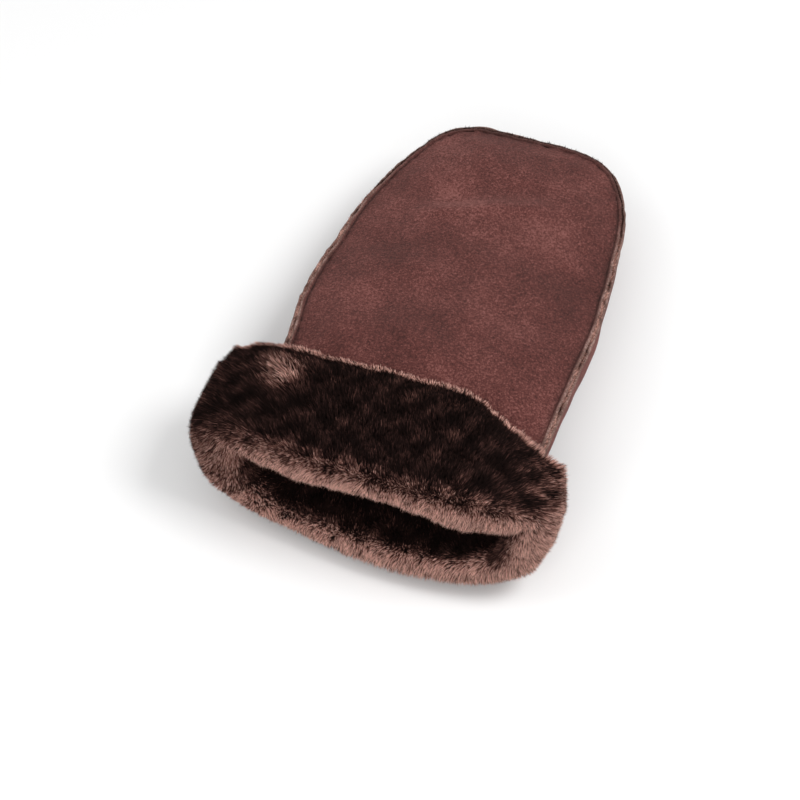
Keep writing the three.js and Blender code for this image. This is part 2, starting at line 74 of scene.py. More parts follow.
SECTIONS = np.array([
    [0.0, 0.94, 0.95, 1.0, 0.7, 1.1, 0.4],
    [0.25, 0.935, 0.945, 1.0, 0.77, 1.0, 0.55],
    [0.33, 0.945, 0.945, 0.85, 0.9, 0.9, 0.85],
    [0.43, 0.995, 0.95, 0.6, 1.0, 0.9, 1.0],
    [0.54, 1.005, 0.955, 0.4, 1.0, 0.9, 1.05],
    [0.61, 0.985, 0.935, 0.2, 1.0, 0.95, 1.05],
    [0.69, 0.96, 0.905, 0.1, 1.0, 1.0, 1.0],
    [0.8, 0.885, 0.86, 0.0, 1.0, 1.0, 0.95],
    [0.885, 0.81, 0.82, 0.0, 1.0, 1.0, 0.9],
    [1.0, 0.79, 0.82, 0.0, 1.0, 1.0, 0.85],
])
DENTS = [  # across, along, reach, depth, as shares of the hand
    (0.1, 0.06, 0.2, 0.1),
    (-0.25, 0.27, 0.16, 0.08),
    (0.5, 0.24, 0.14, 0.1),
    (-0.45, -0.05, 0.18, 0.08),
]
WIDTH_POWER = 2.5
TIP_FLAT = (0.38, 0.22)
CROWN_POWER = 2.6
CUFF_LAYERS = HIDE + TOUCH + CUFF_PILE
FRONT_Y = -LENGTH / 2
TIP_Y = LENGTH / 2 - max(SEAM_LIP * np.cos(BACK_LEAN) + HIDE + SEWN_GAP / 2, GUSSET_BULGE + HIDE)
RAW_EDGE_Y = FRONT_Y + TOP_SETBACK + CUFF_TURN
WALL_END_Y = FRONT_Y + MOUTH_SETBACK + TOP_SETBACK + CUFF_LAYERS + max(FOLD_STAND) / 2 + HIDE
WRIST_LIFT = UNDER_STAND + CUFF_LAYERS - REST_SQUASH
ROWS = 120
ACROSS = 84
ROW_BUNCHING = 2.3
UP = np.array([0, 0, 1.0])


def lerp(a, b, share):
    """The point a share of the straight way from a to b."""
    return a + (b - a) * share


def smooth(value, low, high):
    """3s2 - 2s3, where s is the share of the way from low to high."""
    s = np.clip((value - low) / (high - low), 0, 1)
    return s * s * (3 - 2 * s)


def unit(vectors):
    """Vectors divided by their length."""
    return vectors / np.maximum(np.linalg.norm(vectors, axis=-1, keepdims=True), 1e-9)


def ripple(points, size, seed, waves=12):
    """Smooth unevenness of about one in height: sine waves of about the given size in random
    directions, added up."""
    rng = np.random.default_rng(seed)
    ways = unit(rng.normal(size=(waves, points.shape[-1])))
    lengths = size * rng.uniform(0.6, 1.6, waves)
    starts = rng.uniform(0, 2 * np.pi, waves)
    total = np.zeros(points.shape[:-1])
    for way, length, start in zip(ways, lengths, starts):
        total += np.sin(points @ way * (2 * np.pi / length) + start)
    return total * np.sqrt(2 / waves)


def column(name, y):
    """Smooth curve through a column of SECTIONS: in each gap a cubic whose slope at a row is the mean
    of the straight slopes before and after it."""
    at, value = SECTIONS[:, 0], SECTIONS[:, COLUMNS.index(name)]
    p = np.clip((y - FRONT_Y) / LENGTH, 0, 1)
    i = np.clip(np.searchsorted(at, p, side="right") - 1, 0, len(at) - 2)
    straight = np.diff(value) / np.diff(at)
    slope = np.concatenate([straight[:1], (straight[1:] + straight[:-1]) / 2, straight[-1:]])
    gap = at[i + 1] - at[i]
    s = (p - at[i]) / gap
    start = (1 + 2 * s) * (1 - s) ** 2 * value[i] + s * (1 - s) ** 2 * gap * slope[i]
    end = s * s * (3 - 2 * s) * value[i + 1] + s * s * (s - 1) * gap * slope[i + 1]
    return start + end


def offset_half(y, side, offset):
    """Half the hand's width at y on the left or right side, closed at the finger tips by a
    superellipse, on a course the offset outside the back seam's."""
    y = y - offset
    back = np.clip((TIP_Y - y) / TIP_ROUND, 0, 1)
    closed = (1 - (1 - back) ** WIDTH_POWER) ** (1 / WIDTH_POWER)
    share = np.where(side < 0, column("left", y), column("right", y))
    flat = np.where(side < 0, *TIP_FLAT)
    return HAND_WIDTH / 2 * share * lerp(flat, 1, closed) + offset


def swell(x, y, inset, length):
    """1 in the middle of a panel, and 0 at its seam at the sides and at the finger tips."""
    side = 1 - np.minimum(np.abs(x) / offset_half(y, x, -inset), 1) ** CROWN_POWER
    tip = 1 - (1 - np.clip((TIP_Y - inset - y) / length, 0, 1)) ** CROWN_POWER
    return side * tip


def palm_seam_z(y):
    """Height of the palm seam: the wrist's lift, a hide, and what the palm hangs below it."""
    return WRIST_LIFT * column("lift", y) + HIDE + PALM_BELLY * column("belly", y)


def back_seam_z(y):
    """Height of the back seam: the side strip's height above the palm seam."""
    return palm_seam_z(y) + GUSSET_HEIGHT * column("side", y)


def back_z(x, y):
    """Height of the back hide's wool side: its seam's height and a crown less the soft dents."""
    dent = 0
    for across, along, reach, depth in DENTS:
        dx = (x - across * HAND_WIDTH / 2) / (reach * HAND_WIDTH)
        dy = (y - along * LENGTH) / (reach * HAND_WIDTH)
        dent = dent + depth * np.exp(-2 * (dx * dx + dy * dy))
    crown = BACK_CROWN * (column("crown", y) - dent)
    return back_seam_z(y) + crown * swell(x, y, 0, CROWN_ROUND)


def offset_row(row, offset):
    """A row moved out by the offset at the finger tips, and by less and less towards the wrist."""
    return row + offset * np.maximum(row - WALL_END_Y, 0) / (TIP_Y - WALL_END_Y)


LEVELS = lerp(TIP_Y, WALL_END_Y, (1 - np.arange(ROWS + 1) / ROWS) ** ROW_BUNCHING)
SHARES = np.linspace(-1, 1, ACROSS + 1)


def seam_line(inset, height, lean, side):
    """The seam from the wrist on the left round the finger tips to the wrist on the right. root is
    the sewing line on one side of the sewn gap, along the way up the lip, over the way through the
    hide, and high the lip's height."""
    rows = offset_row(LEVELS, -inset)
    left = np.stack([-offset_half(rows, -1, -inset), rows], -1)
    tip_x = SHARES[1:-1] * offset_half(rows[-1], SHARES[1:-1], -inset)
    tip = np.stack([tip_x, np.full_like(tip_x, rows[-1])], -1)
    right = np.stack([offset_half(rows, 1, -inset), rows], -1)[::-1]
    course = np.concatenate([left, tip, right])
    before = course[np.maximum(np.arange(len(course)) - 1, 0)]
    after = course[np.minimum(np.arange(len(course)) + 1, len(course) - 1)]
    out = np.zeros((len(course), 3))
    out[:, 0], out[:, 1] = before[:, 1] - after[:, 1], after[:, 0] - before[:, 0]
    out = unit(out)
    tilt = (lean + LIP_SWAY * ripple(course, 40, 5))[:, None]
    along = out * np.cos(tilt) + UP * np.sin(tilt)
    over = side * (out * np.sin(tilt) - UP * np.cos(tilt))
    root = np.column_stack([course, height(course[:, 1])]) + over * SEWN_GAP / 2
    free = smooth(course[:, 1], RAW_EDGE_Y, RAW_EDGE_Y + CUFF_LAYERS)
    full = SEAM_LIP * lerp(*LIP_KEPT, smooth(course[:, 1], *LIP_SLIMS))
    high = lerp(PRESSED_LIP, full, free) + LIP_UNEVEN * free * ripple(course, 8, 11 + side)
    return {"course": course, "out": out, "root": root, "along": along, "over": over, "high": high}


EDGE_BEVEL = 0.4
WOOL_BEVEL = 0.35


def lip_rings(line):
    """Rings of the lip from its foot on the suede side over the cut edge to the wool side, each the
    root moved up the lip and through the hide."""
    steps = [(0.5, 0, HIDE), (1, -EDGE_BEVEL, HIDE), (1, 0, HIDE - EDGE_BEVEL), (1, 0, WOOL_BEVEL),
             (1, -WOOL_BEVEL, 0)]
    rise = [line["high"] * share + extra for share, extra, _ in steps]
    return [
        line["root"] + line["along"] * up[:, None] + line["over"] * through
        for up, (_, _, through) in zip(rise, steps)
    ]


# How pale with its cut edge, and how dark with the painted shade of its crease, each ring of a lip is.
LIP_RAW = [0, 0.3, 1, 1, 0.8]
LIP_CREASE_SHADE = [0.55, 0, 0, 0, 0.3]


def mitre(line, normal):
    """The foot of the lip on the suede side, where the hide's two faces meet."""
    meet = 1 + np.sum(normal * line["over"], -1, keepdims=True)
    return line["root"] + HIDE * (normal + line["over"]) / np.maximum(meet, 0.6)


def grid_normals(grid):
    """Unit vectors square to a grid of points, across the rows by the columns."""
    return unit(np.cross(np.gradient(grid, axis=1), np.gradient(grid, axis=0)))


def added(name, data):
    """A new object of the scene that holds the data."""
    made = bpy.data.objects.new(name, data)
    bpy.context.scene.collection.objects.link(made)
    return made


def sew(name, points, cells, material, node, values):
    """A mesh from points in millimetres and arrays of three or four corners, faces turned outwards
    where their volume comes out negative. values holds a number for each point under each name."""
    corners = np.concatenate([c.ravel() for c in cells])
    sizes = np.concatenate([np.full(len(c), c.shape[1]) for c in cells])
    fans = np.concatenate([c[:, [0, k, k + 1]] for c in cells for k in range(1, c.shape[1] - 1)])
    a, b, c = (points[fans[:, k]] for k in range(3))
    if np.sum(a * np.cross(b, c)) < 0:
        cells = [c[:, ::-1] for c in cells]
        corners = np.concatenate([c.ravel() for c in cells])
    mesh = bpy.data.meshes.new(name)
    mesh.vertices.add(len(points))
    mesh.vertices.foreach_set("co", ((points + PLACE) * MM).astype(np.float32).ravel())
    mesh.loops.add(len(corners))
    mesh.loops.foreach_set("vertex_index", corners.astype(np.int32))
    mesh.polygons.add(len(sizes))
    mesh.polygons.foreach_set("loop_start", (np.cumsum(sizes) - sizes).astype(np.int32))
    mesh.polygons.foreach_set("use_smooth", np.ones(len(sizes), bool))
    mesh.update(calc_edges=True)
    for label, numbers in values.items():
        layer = mesh.attributes.new(label, "FLOAT", "POINT")
        layer.data.foreach_set("value", np.asarray(numbers, np.float32))
    mesh.materials.append(material)
    piece = added(name, mesh)
    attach(piece, "root")
    if node:
        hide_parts(node)
    return piece


def net(first, rows, columns):
    """Corners of the cells of a grid of points that are numbered row by row."""
    r, c = np.meshgrid(np.arange(rows - 1), np.arange(columns - 1), indexing="ij")
    a = first + (r * columns + c).ravel()
    return np.stack([a, a + 1, a + columns + 1, a + columns], -1)


THINNEST = 0.6
# Painted shade in the crease reaches about this far in from the seam; TIP_SHADE adds painted shade on
# the lips towards the finger tips.
CREASE_SHADE_WIDTH = 2.0
TIP_WEAR = 0.75
WORN_FROM = (50, 90)
TIP_SHADE = 0.5
SHADED_FROM = (75, 105)


def panel_piece(name, height, line, inset, down, relief, material, node):
    """A hide over or under the hand: height over a net between the seams, a copy one hide away on
    the suede side, and the lip's rings that join the two round the seam."""
    y = np.repeat(offset_row(LEVELS, -inset)[:, None], ACROSS + 1, 1)
    x = SHARES * offset_half(y, SHARES, -inset)
    wool_side = np.stack([x, y, height(x, y)], -1)
    normal = grid_normals(wool_side) * (-1 if down else 1)
    rim_rows = np.concatenate([np.arange(ROWS + 1), np.full(ACROSS - 1, ROWS), np.arange(ROWS, -1, -1)])
    rim_columns = np.concatenate([
        np.zeros(ROWS + 1, int), np.arange(1, ACROSS), np.full(ROWS + 1, ACROSS)])
    sides = np.minimum(np.arange(ACROSS + 1), np.arange(ACROSS, -1, -1)) / (ACROSS / 2)
    from_side = sides * offset_half(y, SHARES, -inset)
    from_tip = offset_row(TIP_Y, -inset) - y
    inland = np.minimum(from_side, from_tip + 0.02)
    suede_side = wool_side + normal * np.maximum(HIDE + relief(x, y, inland), THINNEST)[..., None]
    wool_side[rim_rows, rim_columns] = line["root"]
    suede_side[rim_rows, rim_columns] = mitre(line, normal[rim_rows, rim_columns])
    suede_side[..., 2] = np.maximum(suede_side[..., 2], 0)
    # Painted shade in the crease along the seam, fading inland.
    crease_shade = np.exp(-((inland / CREASE_SHADE_WIDTH) ** 1.5))
    rings = lip_rings(line)
    count = (ROWS + 1) * (ACROSS + 1)
    points = np.concatenate([suede_side.reshape(-1, 3), wool_side.reshape(-1, 3), *rings])
    worn = [smooth(ring[:, 1], *WORN_FROM) for ring in rings]
    shaded = [smooth(ring[:, 1], *SHADED_FROM) for ring in rings]
    lip_raw = [shade * (1 - TIP_WEAR * at) for shade, at in zip(LIP_RAW, worn)]
    lip_crease_shade = [np.maximum(shade, TIP_SHADE * at) for shade, at in zip(LIP_CREASE_SHADE, shaded)]
    raw = np.concatenate([np.zeros(2 * count), *lip_raw])
    # Painted shade: the hidden wool side of the hide is painted dark all over.
    crease_shade = np.concatenate([crease_shade.ravel(), np.ones(count), *lip_crease_shade])
    around = rim_rows * (ACROSS + 1) + rim_columns
    loops = [around]
    loops += [2 * count + k * len(around) + np.arange(len(around)) for k in range(len(rings))]
    loops += [around + count]
    strips = [
        np.stack([a[:-1], a[1:], b[1:], b[:-1]], -1)
        for a, b in zip(loops[:-1], loops[1:])
    ]
    front = np.arange(ACROSS + 1)
    closing = np.stack([front[1:], front[:-1], front[:-1] + count, front[1:] + count], -1)
    ends = [[loop[at] for loop in loops] for at in (0, -1)]
    caps = [np.array([ends[0]]), np.array([ends[1][::-1]])]
    cells = [
        net(0, ROWS + 1, ACROSS + 1),
        net(count, ROWS + 1, ACROSS + 1)[:, ::-1],
        *[strip[:, ::-1] for strip in strips],
        closing[:, ::-1],
        *[cap[:, ::-1] for cap in caps],
    ]
    return sew(name, points, cells, material, node, {"raw": raw, "crease_shade": crease_shade})


PUCKER = 0.3


def seam_pucker(x, y, inland):
    """Small folds that run in from the seam and die out over a few millimetres."""
    here = np.stack([x, y], -1)
    return PUCKER * ripple(here, 6.5, 21) * np.exp(-inland / 5) * smooth(inland, 0, 1.5)


FOLD_Y = 62.8
FOLD_SLOPE = 0.39


def back_relief(x, y, inland):
    """Soft hollows and swells of a filled hand, one crosswise fold at the fingers, and the pucker."""
    here = np.stack([x, y], -1)
    inner = smooth(inland, 2, 16)
    soft = 0.45 + 0.42 * ripple(here, 60, 3) + 0.24 * ripple(here, 24, 4) + 0.07 * ripple(here, 9, 8)
    fold_y = FOLD_Y + FOLD_SLOPE * x
    fold = 1.3 * np.exp(-(((y - fold_y) / 5) ** 2)) - 0.8 * np.exp(-(((y - fold_y - 11) / 7) ** 2))
    fold = fold * smooth(x, -42, -20) * smooth(-x, -36, -8)
    return inner * (soft + fold) + seam_pucker(x, y, inland)


class Socket:
    """A shader node's socket. Sums and products of sockets add Math nodes."""

    def __init__(self, tree, end=None):
        self.tree = tree
        self.end = end

    def add(self, kind, inputs=None, out=0, settings=None, stops=None):
        """A new node: its settings and stops are set first, then its inputs' values or links."""
        node = self.tree.nodes.new("ShaderNode" + kind)
        for name, value in (settings or {}).items():
            setattr(node, name, value)
        if stops:
            ramp = node.color_ramp.elements
            while len(ramp) < len(stops):
                ramp.new(0.5)
            for element, (at, colour) in zip(ramp, stops):
                element.position = at
                element.color = (*colour, 1)
        for name, value in (inputs or {}).items():
            if isinstance(value, Socket):
                self.tree.links.new(value.end, node.inputs[name])
            else:
                node.inputs[name].default_value = value
        return Socket(self.tree, node.outputs[out])

    def maths(self, operation, first, second):
        """A Math node on two numbers or sockets."""
        return self.add("Math", {0: first, 1: second}, settings={"operation": operation})

    def __add__(self, other):
        return self.maths("ADD", self, other)

    def __sub__(self, other):
        return self.maths("SUBTRACT", self, other)

    def __rsub__(self, other):
        return self.maths("SUBTRACT", other, self)

    def __mul__(self, other):
        return self.maths("MULTIPLY", self, other)

    def noise(self, scale, detail=2, roughness=0.5):
        """Noise at this socket's places, with a scale in waves to a metre."""
        inputs = {"Vector": self, "Scale": scale, "Detail": detail, "Roughness": roughness}
        return self.add("TexNoise", inputs)

    def reading(self, name):
        """The number that the mesh holds for each point under a name."""
        return self.add("Attribute", out="Fac", settings={"attribute_name": name})

    def mixed(self, first, second, share):
        """A colour the share of the way from the first to the second."""
        settings = {"data_type": "RGBA"}
        inputs = {"Factor": share, 6: first, 7: second}
        return self.add("Mix", inputs, out=2, settings=settings)

    __radd__ = __add__
    __rmul__ = __mul__


def finish_for(name, roughness, sheen, sheen_tint):
    """A soft matt material, its surface shader, and a socket to start its nodes from."""
    material = bpy.data.materials.new(name)
    material.use_nodes = True
    surface = material.node_tree.nodes["Principled BSDF"]
    surface.inputs["Roughness"].default_value = roughness
    surface.inputs["Specular IOR Level"].default_value = 0.2
    surface.inputs["Sheen Weight"].default_value = sheen
    surface.inputs["Sheen Roughness"].default_value = 0.6
    surface.inputs["Sheen Tint"].default_value = (*sheen_tint, 1)
    return material, surface, Socket(material.node_tree)


def connect(material, socket, end):
    """Links a socket to the surface shader's input."""
    material.node_tree.links.new(socket.end, end)


SUEDE_STOPS = [
    (0.12, (0.030, 0.0086, 0.0075)),
    (0.40, (0.076, 0.0218, 0.0187)),
    (0.60, (0.112, 0.0332, 0.0285)),
    (0.88, (0.220, 0.0836, 0.0730)),
]
# Painted shade colour, mixed in by each point's crease shade number.
CREASE_SHADE_COLOUR = (0.012, 0.006, 0.005, 1)
RAW_STOPS = [
    (0.25, (0.045, 0.024, 0.018)),
    (0.50, (0.160, 0.092, 0.076)),
    (0.75, (0.420, 0.280, 0.245)),
]


def suede_finish(name):
    """Suede nap: broad brushed patches, small clouds and a fine grain, painted darker with shade in the
    seam's crease and on hidden faces, and a speckled pale cut edge."""
    material, surface, start = finish_for(name, 0.95, 0.12, (0.8, 0.45, 0.4))
    place = start.add("TexCoord", out="Object")
    broad = place.noise(26, 3, 0.55)
    cloud = place.noise(150, 3, 0.6)
    nap = place.noise(900, 3, 0.7)
    grain = place.noise(2600, 2, 0.6)
    tone = 0.5 + (broad - 0.5) * 0.85 + (cloud - 0.5) * 0.25 + (nap - 0.5) * 1.5 + (grain - 0.5) * 1.2
    suede = start.add("ValToRGB", {"Fac": tone}, stops=SUEDE_STOPS)
    speckle = place.noise(1300, 3, 0.7)
    edge = start.add("ValToRGB", {"Fac": speckle + (cloud - 0.5) * 0.5}, stops=RAW_STOPS)
    colour = start.mixed(suede, edge, start.reading("raw"))
    shaded = start.mixed(colour, CREASE_SHADE_COLOUR, start.reading("crease_shade") * 0.9)
    connect(material, shaded, surface.inputs["Base Color"])
    height = nap * 0.6 + grain * 0.5 + cloud * 0.5
    bump = start.add("Bump", {"Height": height, "Strength": 0.7, "Distance": 0.0008})
    connect(material, bump, surface.inputs["Normal"])
    return material


suede = suede_finish("brown suede")
back_line = seam_line(0, back_seam_z, BACK_LEAN, -1)
panel_piece("back_hide", back_z, back_line, 0, False, back_relief, suede, "back_panel")


# Palm hide
# One hide under the hand, draped over the flat thumb pocket and pressed flat where it rests. Its seam
# lies a little inside the back's, and a hole leads into the thumb.
PALM_INSET = 5
PALM_ROUND = 26
PALM_LEAN = np.radians(-25)
THUMB_LENGTH = 82
THUMB_BASE_WIDTH = 44
THUMB_TIP_WIDTH = 36
THUMB_DEPTH = 13
THUMB_FROM_SIDE = 41
THUMB_X = HAND_WIDTH / 2 - THUMB_FROM_SIDE
THUMB_FROM_TIP = 74
HOLE_WIDTH = 32
HOLE_LENGTH = 38
HOLE_SIDES = 48
DRAPE_LEVEL = 10
DRAPE_SLOPE = 0.5
DRAPE_POWER = 14
LINING_EASE = 1.4
LINING_PILE = 4.5
THUMB_BASE = np.array([THUMB_X, TIP_Y - THUMB_FROM_TIP - THUMB_LENGTH + THUMB_BASE_WIDTH / 2])
THUMB_TIP = np.array([THUMB_X, TIP_Y - THUMB_FROM_TIP - THUMB_TIP_WIDTH / 2])


def outside_thumb(x, y):
    """How far a point lies outside the palm's level stretch round the thumb."""
    line = THUMB_TIP - THUMB_BASE
    dx, dy = x - THUMB_BASE[0], y - THUMB_BASE[1]
    along = np.clip((dx * line[0] + dy * line[1]) / (line @ line), 0, 1)
    half = lerp(THUMB_BASE_WIDTH, THUMB_TIP_WIDTH, along) / 2
    distance = np.hypot(dx - along * line[0], dy - along * line[1])
    return np.maximum(distance - half - SEAM_LIP - DRAPE_LEVEL, 0)


def palm_z(x, y):
    """Height of the palm hide's wool side: it hangs below its seam, drapes over the thumb, and stops
    at the surface that the mitten lies on."""
    hang = PALM_BELLY * column("belly", y) + REST_SQUASH
    hanging = palm_seam_z(y) - hang * swell(x, y, PALM_INSET, PALM_ROUND)
    inside = 1 - np.minimum(np.abs(x) / offset_half(y, x, -PALM_INSET), 1) ** DRAPE_POWER
    draped = THUMB_DEPTH + 2 * TOUCH + HIDE - DRAPE_SLOPE * outside_thumb(x, y)
    return np.maximum(np.maximum(hanging, lerp(hanging, draped, inside)), HIDE)


def cut_thumb_way(piece):
    """Takes an upright oval prism, the way into the thumb, out of a piece."""
    turn = np.linspace(0, 2 * np.pi, HOLE_SIDES, endpoint=False)
    oval = np.stack([
        THUMB_BASE[0] + HOLE_WIDTH / 2 * np.cos(turn),
        THUMB_BASE[1] + (HOLE_LENGTH - HOLE_WIDTH) / 2 + HOLE_LENGTH / 2 * np.sin(turn)], -1)
    top = THUMB_DEPTH + 2 * HIDE + LINING_EASE + LINING_PILE
    points = np.concatenate([np.column_stack([oval, np.full(HOLE_SIDES, z)]) for z in (0.5, top)])
    k = np.arange(HOLE_SIDES)
    after = (k + 1) % HOLE_SIDES
    walls = np.stack([k, after, after + HOLE_SIDES, k + HOLE_SIDES], -1).tolist()
    mesh = bpy.data.meshes.new("way")
    faces = walls + [k[::-1].tolist(), (k + HOLE_SIDES).tolist()]
    mesh.from_pydata(((points + PLACE) * MM).tolist(), [], faces)
    cutter = added("way", mesh)
    difference = piece.modifiers.new("way", "BOOLEAN")
    difference.object = cutter
    difference.solver = "EXACT"
    done = piece.evaluated_get(bpy.context.evaluated_depsgraph_get())
    piece.data = bpy.data.meshes.new_from_object(done)
    piece.modifiers.clear()
    bpy.data.objects.remove(cutter)


def palm_relief(x, y, inland):
    """Shallow hollows away from the seam, and the seam's pucker."""
    here = np.stack([x, y], -1)
    soft = 0.4 * ripple(here, 45, 13) + 0.15 * ripple(here, 14, 14)
    return smooth(inland, 2, 16) * np.minimum(soft, 0.1) + seam_pucker(x, y, inland)


palm_line = seam_line(PALM_INSET, palm_seam_z, PALM_LEAN, 1)
palm = panel_piece("palm_hide", palm_z, palm_line, PALM_INSET, True, palm_relief, suede, "palm_panel")
cut_thumb_way(palm)


# Side strip
# A strip of the same hide runs from the wrist round the finger tips, between the two seams, and makes
# the hand boxed. It swells out a little and has a lip on both edges.
STRIP_STEPS = 14


def ring_cells(first, rows, around):
    """Corners of the cells between rows of points that each close into a ring."""
    k = np.arange(around)
    start = first + np.arange(rows - 1)[:, None] * around
    after = (k + 1) % around
    cells = np.stack([start + k, start + after, start + around + after, start + around + k], -1)
    return cells.reshape(-1, 4)


def side_strip():
    """A closed profile carried round the hand: up the wool side from the palm seam to the back seam,
    over the upper lip, down the suede side, and over the lower lip."""
    low = seam_line(PALM_INSET, palm_seam_z, PALM_LEAN, -1)
    high = seam_line(0, back_seam_z, BACK_LEAN, 1)
    share = np.linspace(0, 1, STRIP_STEPS + 1)[1:-1]
    swelling = GUSSET_BULGE * 4 * share * (1 - share)
    wool_side = [lerp(low["root"], high["root"], s) + high["out"] * b for s, b in zip(share, swelling)]
    seam_to_seam = unit(high["root"] - low["root"])
    ahead = np.gradient(high["root"], axis=0)
    face = unit(np.cross(seam_to_seam, ahead))
    face = face * np.sign(np.sum(face * high["out"], -1, keepdims=True))
    soft = 0.3 * ripple(high["course"], 30, 31)
    suede_side = [
        point + face * (HIDE + soft * 4 * s * (1 - s))[:, None]
        for point, s in zip(wool_side, share)
    ]
    rings = [low["root"], *wool_side, high["root"]]
    rings += lip_rings(high)[::-1] + [mitre(high, face)]
    rings += suede_side[::-1]
    rings += [mitre(low, face)] + lip_rings(low)
    bare = [0] * len(share)
    raw = [0, *bare, 0, *LIP_RAW[::-1], 0, *bare, 0, *LIP_RAW]
    # Painted shade on the strip's wool side, at the lips' feet and in the lips' creases.
    crease_shade = [1, *[1] * len(share), 1, *LIP_CREASE_SHADE[::-1], 1, *bare, 1, *LIP_CREASE_SHADE]
    profile = np.stack(rings, 1)
    profile[..., 2] = np.maximum(profile[..., 2], 0)
    stations, around = profile.shape[:2]
    k = np.arange(around)
    cells = [ring_cells(0, stations, around), k[None, ::-1], (k + (stations - 1) * around)[None]]
    values = {"raw": np.tile(raw, stations), "crease_shade": np.tile(crease_shade, stations)}
    return sew("side_strip", profile.reshape(-1, 3), cells, suede, "side_gusset", values)


side_strip()


# Thumb pocket
# Two hides sewn flat round their edge and let into the palm. The lower one is dished and rests on
# the surface, and the upper one has the way in.
THUMB_AROUND = 120
THUMB_RINGS = 22
THUMB_UNEVEN = 0.12
DISH_POWER = 4


def thumb_hide(name, height, down, node):
    """Rings from the thumb's middle to its seam at the given height, then the flat lip beyond, and a
    copy one hide away."""
    turn = (np.arange(THUMB_AROUND) + 0.5) / THUMB_AROUND * 2 * np.pi
    ahead = (np.sin(turn) > 0)[:, None]
    centre = np.where(ahead, THUMB_TIP, THUMB_BASE)
    radius = np.where(ahead, THUMB_TIP_WIDTH, THUMB_BASE_WIDTH) / 2
    way = np.stack([np.cos(turn), np.sin(turn)], -1)
    middle = (THUMB_TIP + THUMB_BASE) / 2
    share = np.linspace(0.04, 1, THUMB_RINGS)[:, None, None]
    hide = lerp(middle, centre + way * radius, share)
    lip = np.stack([centre + way * (radius + up) for up in (1.2, 2.4, SEAM_LIP)])
    flat = np.concatenate([hide, lip])
    levels = np.concatenate([height(share[:, 0, 0]), np.full(3, height(np.ones(1))[0])])
    z = np.repeat(levels[:, None], THUMB_AROUND, 1)
    z = z + THUMB_UNEVEN * ripple(flat, 14, 41)
    near = np.concatenate([flat, z[..., None]], -1)
    wrapped = np.concatenate([near[:, -1:], near, near[:, :1]], 1)
    normal = grid_normals(wrapped)[:, 1:-1]
    normal = normal * np.sign(normal[..., 2:]) * (-1 if down else 1)
    far = near + normal * HIDE
    near[..., 2] = np.maximum(near[..., 2], HIDE * 0.9)
    far[..., 2] = np.maximum(far[..., 2], 0)
    rows = len(flat)
    count = rows * THUMB_AROUND
    middles = [near[0].mean(0)[None], far[0].mean(0)[None]]
    points = np.concatenate([near.reshape(-1, 3), far.reshape(-1, 3), *middles])
    k = np.arange(THUMB_AROUND)
    after = (k + 1) % THUMB_AROUND
    sheet = ring_cells(0, rows, THUMB_AROUND)
    last = (rows - 1) * THUMB_AROUND
    edge = np.stack([last + k, last + after, last + after + count, last + k + count], -1)
    fan = np.stack([np.full(THUMB_AROUND, 2 * count), after, k], -1)
    far_fan = np.stack([np.full(THUMB_AROUND, 2 * count + 1), k + count, after + count], -1)
    cells = [sheet, sheet[:, ::-1] + count, edge, fan, far_fan]
    outward = np.concatenate([np.zeros(THUMB_RINGS), [0, 0.3, 1]]).repeat(THUMB_AROUND)
    values = {"raw": np.concatenate([outward, outward, [0, 0]]), "crease_shade": np.zeros(2 * count + 2)}
    return sew(name, points, cells, suede, node, values)


THUMB_SEAM_Z = THUMB_DEPTH - HIDE - SEWN_GAP


def thumb_under_z(share):
    """Height of the lower hide's wool side: flat in the middle, then a power of the share out that
    rises to the seam."""
    return np.maximum(lerp(HIDE - REST_SQUASH, THUMB_SEAM_Z, share ** DISH_POWER), HIDE)


thumb_hide("thumb_under_hide", thumb_under_z, True, "thumb_outer")
thumb_upper = thumb_hide(
    "thumb_upper_hide", lambda share: share * 0 + THUMB_DEPTH - HIDE, False, "thumb_inner")
cut_thumb_way(thumb_upper)


# Cuff skin
# The wrist end of the hides, turned inside out and back over the hand, so that its suede faces in. It
# stands off the hand at the sides, and shows only at the raw edge, from behind.
TOP_STAND = 2
EDGE_STAND = (12, 3.5)
EDGE_SLANT = 18
CUFF_POWER = 3
SETBACK_POWER = 4
BACK_PLACES = 110
SIDE_PLACES = 44


def places_round(back, side):
    """Part and share of each place round a section: back, right side, palm and left side."""
    counts = [back, side, back, side]
    part = np.repeat([0, 1, 2, 3], counts)
    share = np.concatenate([np.arange(n) / n for n in counts])
    return part, share


def hand_point(part, share, row, outside):
    """The hand's section on a row at a place, the given distance outside its wool side: across the
    back, across the palm, or between them with the side's swell."""
    under = outside - PALM_INSET
    back_y, palm_y = offset_row(row, outside), offset_row(row, under)
    side = np.where(part == 1, 1, -1)

    def across(y, offset, way):
        left, right = -offset_half(y, -1, offset), offset_half(y, 1, offset)
        return np.where(part == way, lerp(left, right, share if way == 0 else 1 - share),
                        np.where(part == 1, right, left))

    back_x, palm_x = across(back_y, outside, 0), across(palm_y, under, 2)
    down = np.choose(part, [0 * share, share, 0 * share + 1, 1 - share])
    on_back = np.stack([back_x, back_y + 0 * back_x, back_z(back_x, back_y) + outside], -1)
    on_palm = np.stack([palm_x, palm_y + 0 * palm_x, palm_z(palm_x, palm_y) - outside], -1)
    point = lerp(on_back, on_palm, down[..., None])
    beside = (part == 1) | (part == 3)
    point[..., 0] += np.where(beside, side * GUSSET_BULGE * 4 * share * (1 - share), 0)
    return point


